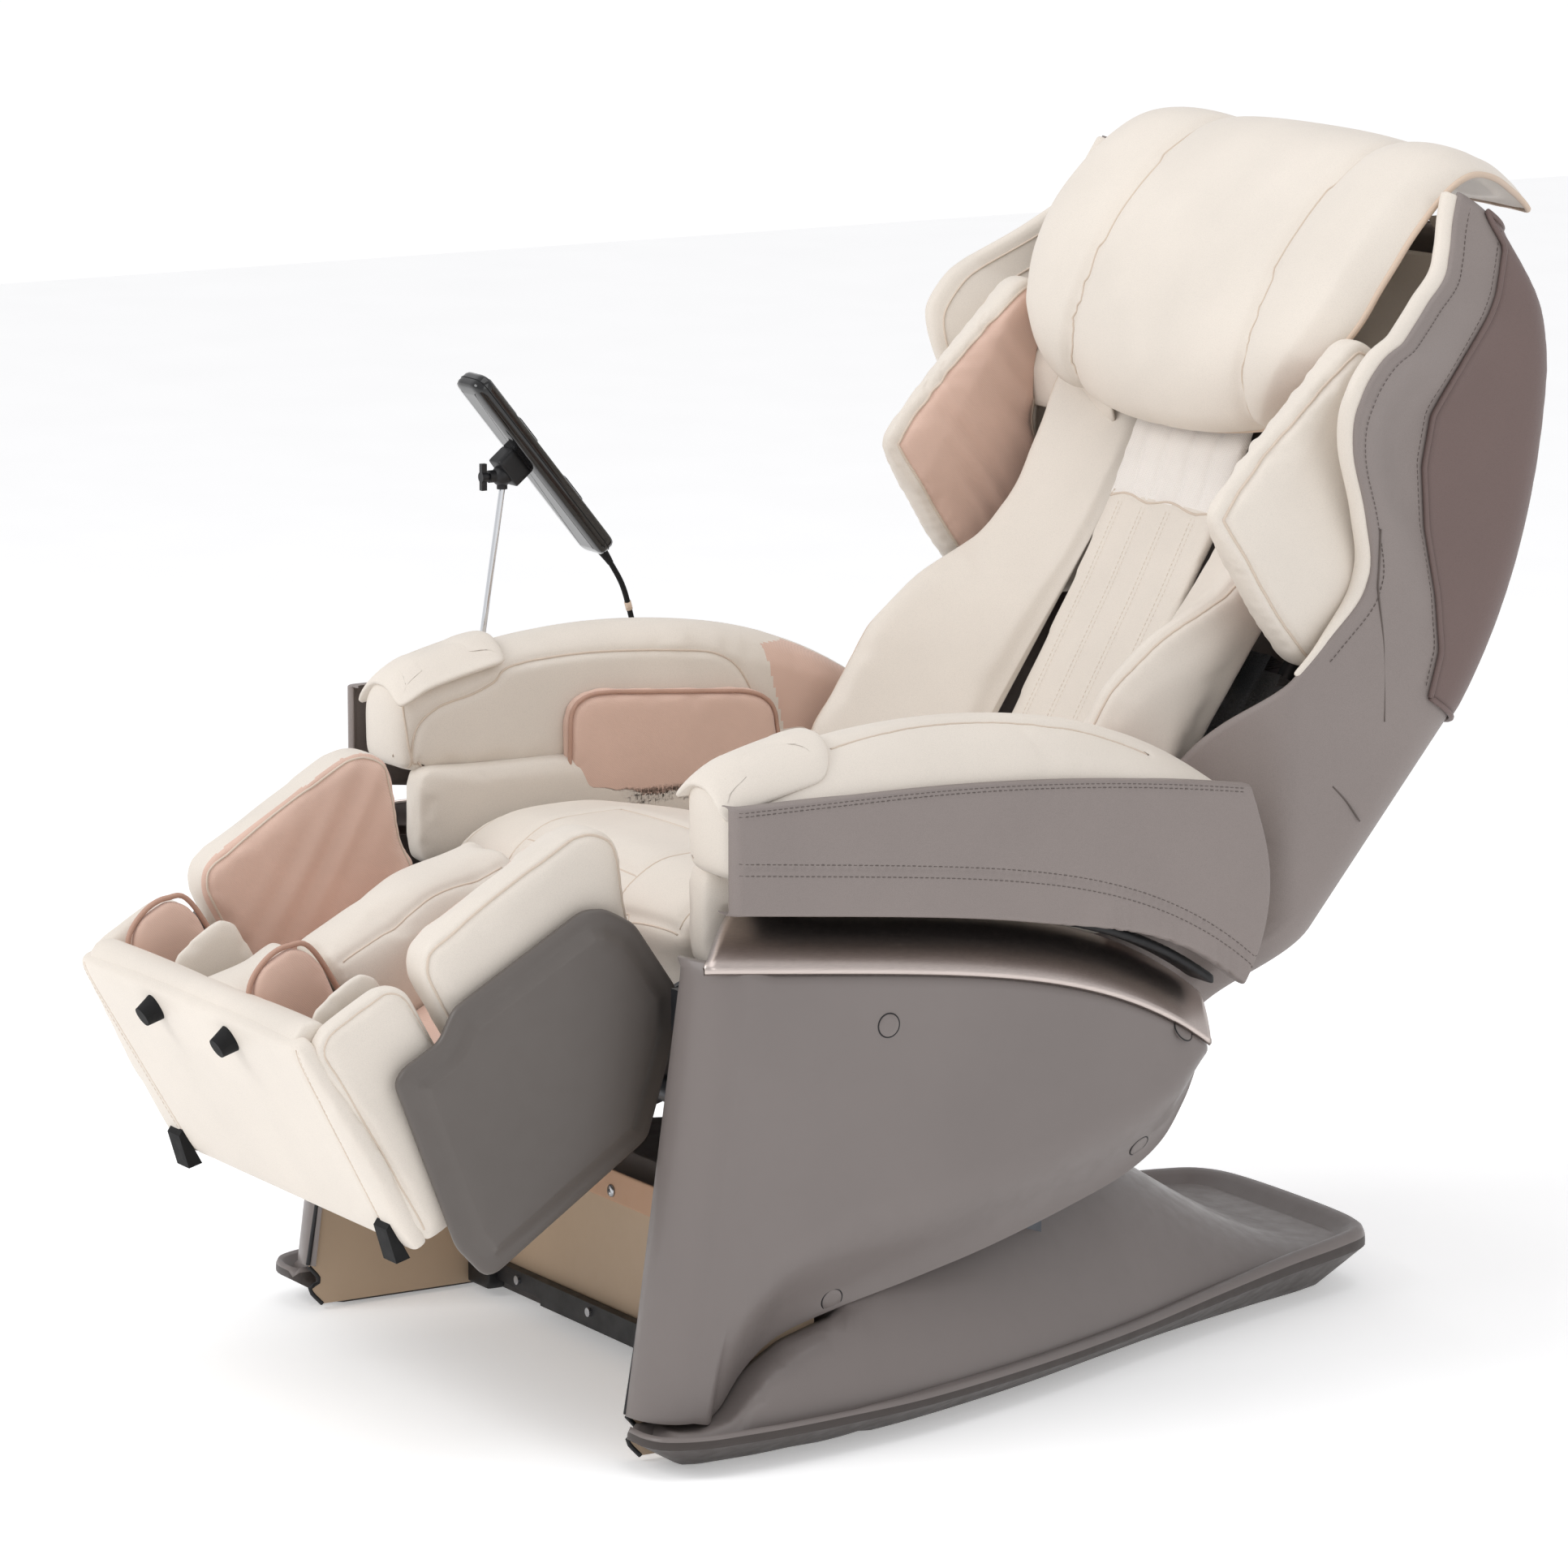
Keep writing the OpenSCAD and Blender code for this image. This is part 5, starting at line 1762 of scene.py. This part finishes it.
def pillow():
    """The head pillow with its two seams and the piping round its edge."""
    obj, front = head_pillow()
    n = len(front)
    tree = surface(obj)
    lines = []
    for sign in (1, -1):
        pts = [front[i, int(np.argmin(np.abs(front[i, :, 0] - sign * (170 - 6 * i / n))))]
            for i in range(2, int(n * 0.93), 2)]
        line = smooth_line(back(np.array(pts)), 0.004)
        lines.append(np.array([tree.find_nearest(Vector(p))[0] for p in line]))
    groove(obj, lines, 3.2, 6)
    refine(obj)
    tree = surface(obj)
    welts = []
    for line in lines:
        welts.append(tube_data(np.array([tree.find_nearest(Vector(p))[0] for p in line]), 0.0013, 6))
    place_strands("pillow_seams", welts, CREAM_SEAM, "pillow")
    hem = [front[i, -1] for i in range(n)] + [front[-1, j] for j in range(95, 0, -2)] + [front[i, 0]
        for i in range(n - 1, -1, -1)]
    hem += [front[0, j] for j in range(1, 96, 2)]
    ring = smooth_line(back(np.array(hem)), 0.005, True)
    ring = np.array([tree.find_nearest(Vector(p))[0] for p in ring])
    for _ in range(3):
        ring = (np.roll(ring, 1, 0) + 2 * ring + np.roll(ring, -1, 0)) / 4
    place_strands("pillow_piping", [tube_data(ring, 0.0036, 8, True)], PIPING, "pillow")
    place(obj, CREAM, "pillow", ["head_pillow", "pillow_flap"])
    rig.padded(obj, 0.7)


back_shell()
guards()
shoulder_lining()
pillow()

# ---- legrest and foot box -----------------------------------------------------------

GUARD_LEG = [
    (-230, 38), (-231, 120), (-231, 190), (-214, 215), (-120, 221), (-12, 223), (14, 212), (32, 186),
    (22, 150),
    (6, 108), (0, 60), (-8, 38),
]


def calf_guard():
    """The left outer wall of the calf section, with loose cloth on its inner side."""
    pad = soft("calf_guard_left", rounded(GUARD_LEG, 16, 6), 222, 274, leg, voxel=6, rounds=6, cap=4)
    ring = [(y, z) for y, z in inset(rounded(GUARD_LEG, 16, 6), 9)]
    start = int(np.argmin([z for y, z in ring]))
    ring = [q for q in ring[start:] + ring[:start] if q[1] > 50]
    tree = surface(pad)
    outer = cord_on(tree, on(leg, with_x(300, ring)), (-1, 0, 0))[0]
    inner = cord_on(tree, on(leg, with_x(200, ring)), (1, 0, 0))[0]
    groove(pad, [outer, inner], 2.0, 5)
    along = leg([(0, -0.5, 1)])[0] - leg([(0, 0, 0)])[0]
    middle = leg([(222, -60, 110)])[0]
    folds(pad, lambda co, n: (n[:, 0] < -0.4) * np.exp(-((np.linalg.norm(co - middle,
        axis=1) / 0.12) ** 2)), along, 44, 3.4, 1)
    tree = surface(pad)
    outer, inner = laid(tree, outer, (-1, 0, 0))[0], laid(tree, inner, (1, 0, 0))[0]
    welts = outward(joined("calf_welts_left", [tube_data(outer, 0.0014, 6), tube_data(inner, 0.0014, 6)]))
    return pad, welts


def calf_section():
    pad, welts = calf_guard()
    for side, sign in (("right", -1), ("left", 1)):
        part = for_side(pad, side)
        place(part, [CREAM, PINK], "legrest", ["calf_pads"] if side == "left" else ())
        repaint(part, 1, lambda m, n: (n[:, 0] * sign < -0.25) & (m[:, 0] * sign < 0.232))
        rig.padded(part, 0.7)
        place(for_side(welts, side), CREAM_SEAM, "legrest")
    low = rounded([(-58, 38), (-58, 132), (-42, 166), (42, 166), (58, 132), (58, 38)], 16, 6)

    def dip(p):
        p[:, 2] -= 22 * ease(-110, 0, p[:, 1]) * (p[:, 2] > 60)
        return p

    divider = soft("calf_divider", low, -230, 2, leg, plane="xz", voxel=6, rounds=7, warp=dip, cap=5)
    lines = [on(leg, [(x, y, 220) for y in np.linspace(-218, -14, 30)]) for x in (-46, 46)]
    down = leg([(0, 0, -1)])[0] - leg([(0, 0, 0)])[0]
    sew(divider, "divider_welts", lines, tuple(down), "legrest", depth=1.6, width=5)
    place(divider, CREAM, "legrest")
    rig.padded(divider, 0.7)
    for side, sign in SIDES.items():
        floor_pad = rounded([(44, 38), (44, 62), (130, 54), (218, 62), (218, 38)], 8, 6)
        pad = soft(f"calf_floor_{side}", [(sign * x, z) for x, z in floor_pad], -229, -8, leg, plane="xz",
            voxel=6, rounds=5, cap=5)
        place(pad, PINK, "legrest")
        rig.padded(pad, 0.6)


COVER_OUTLINE = [
    (-341, -68), (-315, 122), (-300, 130), (-252, 130), (-222, 150), (-48, 152), (-26, 138), (-6, 106),
    (2, 18),
    (-20, -20), (-104, -100), (-318, -118), (-330, -112),
]


def leg_cover(side, sign):
    """Hard grey cover on the legrest's side: a broad sloped border round a raised flat."""
    outer = rounded(COVER_OUTLINE, 9, 4)

    def face(p, d):
        return np.interp(d, [0, 1.2, 4, 10, 20, 27, 31, 60],
            [291, 294.6, 296, 296.6, 297.4, 303.8, 304.8, 305.4])

    def rear(p, d):
        return np.interp(d, [0, 3, 12, 60], [288, 286, 284, 284])

    def to_leg(p):
        return leg(np.column_stack([sign * p[:, 2], p[:, 0], p[:, 1]]))

    obj = relief(f"leg_cover_shell_{side}", outer, rear, face, [1.2, 4, 10, 20, 27, 31], 14, to_leg)
    place(obj, LEG_SHELL, "legrest", [f"leg_cover_{side}"])


def foot_box():
    """Cream padded box for the feet: sole panel, side walls, heel floor and middle block."""
    body = "footrest"
    forward = tuple(leg([(0, 1, 0)])[0] - leg([(0, 0, 0)])[0])
    sole = rounded([(-258, 206), (258, 206), (282, 60), (276, -60), (-276, -60), (-282, 60)], 16, 6)
    panel = soft("foot_sole_panel", sole, -375, -356, leg, plane="xz", voxel=5.5, rounds=4, cap=3)
    seams = [on(leg, [(sign * (244 - 22 * t), -420, 196 - 250 * t) for t in np.linspace(0, 1, 50)])
        for sign in (1, -1)]
    paths = sew(panel, "sole_seams", seams, forward, body, radius=1.2, depth=1.8, width=4)
    tree = surface(panel)
    rows = [laid(tree, path + np.array([s * 0.005, 0, 0]), forward)[0] for path, s in zip(paths, (1, -1))]
    place(stitches("sole_stitches", rows, 6, 0.45), CREAM_SEAM, body)
    folds(panel, lambda co, n: np.exp(-(((co[:, 0]) / 0.2) ** 2)) * (n @ np.array(forward) < -0.5) * 0.5,
        (0.3, -0.5, 1), 120, 2.2, 4)
    place(panel, CREAM, body, ["foot_box"])
    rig.padded(panel, 0.4)
    for side, sign in SIDES.items():
        wall = [(-366, -58), (-366, 190), (-344, 206), (-262, 206), (-243, 188), (-240, 100), (-240, -58)]

        def flare(p):
            p[:, 0] += sign * 12 * np.clip(1 - (p[:, 2] - 60) / 146, 0, 1) * (np.abs(p[:, 0]) > 250)
            return p

        lo, hi = sorted((sign * 236, sign * 264))
        pad = soft(f"foot_wall_{side}", rounded(wall, 16, 6), lo, hi, leg, voxel=6, rounds=7, warp=flare,
            cap=5)
        ring = on(leg, [(sign * 320, y, z) for y, z in inset(rounded(wall, 16, 6), 10) if z > -40])
        sew(pad, f"foot_wall_welt_{side}", [np.array(ring)], (-sign, 0, 0), body, radius=1.2, depth=2,
            width=4.5, closed=False)
        place(pad, CREAM, body)
        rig.padded(pad, 0.7)
    block = rounded([(-74, -58), (-74, 150), (-58, 178), (30, 178), (44, 150), (44, -58)], 18, 6)

    def slope(p):
        p[:, 2] += 14 * ease(-270, -350, p[:, 1]) * (p[:, 2] > 60)
        return p

    middle = soft("foot_middle", block, -362, -238, leg, plane="xz", voxel=6, rounds=8, warp=slope, cap=5)
    roll = rounded([(-372, 120), (-373, 200), (-356, 213), (-334, 206), (-326, 180), (-330, 120)], 12, 5)
    top_roll = soft("foot_top_roll", roll, -242, 242, leg, voxel=5, rounds=6, cap=4)
    place(top_roll, CREAM, body)
    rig.padded(top_roll, 0.7)
    place(middle, CREAM, body)
    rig.padded(middle, 0.7)
    heel = rounded([(-240, -58), (-240, -16), (240, -16), (240, -58)], 10, 7)
    floor_pad = soft("foot_heel_floor", heel, -362, -241, leg, plane="xz", voxel=7, rounds=4, cap=4)
    place(floor_pad, CREAM, body)
    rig.padded(floor_pad, 0.6)
    for name, x in (("far", -216), ("near", 66)):
        leaf = rounded([(-338, 20), (-340, 176), (-316, 214), (-262, 214), (-244, 178), (-246, 20)], 22, 5)
        pad = soft(f"foot_pad_{name}", leaf, x - 8, x + 8, leg, voxel=4.5, rounds=6, cap=6)
        place(pad, PINK, body, ["foot_pads"] if name == "far" else ())
        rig.padded(pad, 0.7)
        keep = smooth_line(on(leg, with_x(x, [(-341, 40), (-342, 150), (-330, 196), (-300, 214),
            (-268, 212), (-246, 186), (-243, 60)])), 0.005)
        place_strands(f"foot_pad_piping_{name}", [tube_data(keep, 0.003, 8)], PINK_SEAM, body)
    for name, x in (("far", -118), ("near", 196)):
        leaf = rounded([(-352, 60), (-352, 150), (-330, 196), (-262, 206), (-244, 186), (-244, 60)], 20, 5)
        pad = soft(f"foot_tongue_{name}", leaf, x - 5, x + 5, leg, voxel=4, rounds=4, cap=2)
        place(pad, CREAM, body)
        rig.padded(pad, 0.4)


calf_section()
for side, sign in SIDES.items():
    leg_cover(side, sign)
foot_box()

# ---- remote control ------------------------------------------------------------------


def loft_box(name, half_w, half_h, front, rear, place_in, radius=14, edge=4.0, crown=2.5):
    """A slim moulded case: rounded outline in X and Z, softened front and rear edges, a slight crown."""
    outline = rounded([(-half_w, -half_h), (half_w, -half_h), (half_w, half_h), (-half_w, half_h)], radius,
        2.5)
    rings = [(0.9 * radius, rear), (edge, rear), (edge * 0.3, rear - edge * 0.3), (0, rear - edge),
        (0, front + edge)]
    rings += [(edge * 0.3, front + edge * 0.3), (edge, front), (0.6 * radius, front - crown * 0.4),
        (0.9 * radius, front - crown)]
    points, n = [], len(outline)
    for distance, y in rings:
        ring = inset(outline, distance)
        points.append(np.column_stack([ring[:, 0], np.full(n, y), ring[:, 1]]))
    faces = []
    for k in range(len(rings) - 1):
        faces += ring_faces(k, n)
    faces += [list(range(n)), [(len(rings) - 1) * n + i for i in range(n)]]
    return outward(add_mesh(name, place_in(np.vstack(points)), faces))


def remote_control():
    """A tall slim case seen from its rear and side: screen and keys face the sitter."""
    body = "remote"
    case = loft_box("remote_case", 27, 131, -10.5, 10.5, remote, 15, 5, 1.5)
    cut = prism("key_cut", [(-12.6, -70.6), (12.6, -70.6), (12.6, -29.4), (-12.6, -29.4)], 6, 24, "xz")
    cut2 = prism("key_cut_2", [(-12.6, 19.4), (12.6, 19.4), (12.6, 60.6), (-12.6, 60.6)], 6, 24, "xz")
    for tool in (cut, cut2):
        set_coords(tool, remote(coords(tool) * 1000))
        outward(tool)
        hole = case.modifiers.new("Hole", "BOOLEAN")
        hole.object = tool
        hole.solver = "FAST"
    baked(case)
    for tool in (cut, cut2):
        bpy.data.objects.remove(tool)
    case.data.shade_flat()
    for f in case.data.polygons:
        f.use_smooth = f.area < 4e-4
    place(case, GLOSS, body, ["remote"])
    screen = loft_box("remote_screen", 20, 28, 0, 1.6, lambda p: remote(p + [0, 10.2, 94]), 4, 0.6, -0.1)
    place(screen, GLOSS, body)
    band = loft_box("remote_seam", 27.4, 131.4, -0.5, 0.5, remote, 15, 0.2, 0)
    place(band, RUBBER, body)
    ring = rounded([(-17, -122), (17, -122), (17, -84), (-17, -84)], 12, 2)
    place(tube("remote_pad_ring", remote([(x, 11.2, z) for x, z in ring]), 0.0007, 8, True), CHROME, body)
    heart = [(0, -6), (-11, 4), (-11, 11), (-5, 14), (0, 9), (5, 14), (11, 11), (11, 4)]
    lines = smooth_line(heart, 1, True)
    place(tube("remote_rear_ring", remote([(x, -11.4, z + 70) for x, z in lines]), 0.0006, 6, True),
        DARK_GREY_AND_PAINTED_SHADE, body)
    cradle = soft("remote_cradle", rounded([(-24, -4), (4, -4), (4, 34), (-24, 34)], 5, 2), -34.5, -10.5,
        remote, "xz", 1.6, 3, cap=0, fine=False)
    place(cradle, BLACK, body)
    for name, z, node in (("upper", 40, "key_upper"), ("lower", -50, "key_lower")):
        key = loft_box(f"remote_key_{name}", 11.7, 19.7, 11.5, 15.6,
            lambda p, z=z: remote(p * [1, -1, 1] + [0, 27, z]), 6, 1.2, -0.8)
        place(key, RUBBER, node_body(node), [node])


def node_body(node):
    """The body a CAD node rides on."""
    return {"key_upper": "key_up", "key_lower": "key_down"}[node]


remote_control()

# ---- pieces kept from the CAD --------------------------------------------------------


def arm_rails():
    """Black rails the armrests slide on."""
    ys = np.linspace(-318, 226, 60)
    outline = [(y, trim_top(y) + 5) for y in ys] + [(y, trim_top(y) + 17) for y in ys[::-1]]
    for side, sign in SIDES.items():
        lo, hi = sorted((sign * 342, sign * 390))
        rail = soft(f"arm_rail_{side}", even(np.array(outline + outline[:1]), 5, True), lo, hi, world,
            voxel=4, rounds=2, cap=0, fine=False)
        place(rail, BLACK, "base", ["arm_tracks"] if side == "left" else ())


arm_rails()

PLAIN = {
    BLACK: ["front_rail", "air_pump", "power_box", "back_actuator", "leg_actuator", "stand_clamp",
        "clamp_knob"],
    RED: ["power_switch"],
    STEEL: ["seat_frame", "back_frame", "leg_frame"],
    BRIGHT: ["carriage", "drive_axle", "knead_arm_left", "knead_arm_right", "frame_screws", "foot_slides"],
    RUBBER: ["roller_top_left", "roller_low_left", "roller_top_right", "roller_low_right", "foot_bumpers"],
    CHROME: ["stand_rod", "back_actuator_rod", "leg_actuator_rod"],
}


def paint_cad():
    """CAD pieces that stay as they are get the chair's own materials."""
    for obj in bpy.data.objects:
        if obj.type != "MESH":
            continue
        for mat, nodes in PLAIN.items():
            if obj.name.split(".")[0] in nodes:
                for cell in obj.material_slots:
                    cell.material = mat


paint_cad()
visual_box = [list(corner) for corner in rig.bounds()]
with open("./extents.json", "w") as out:
    json.dump({"cad": cad_box, "visual": visual_box}, out)
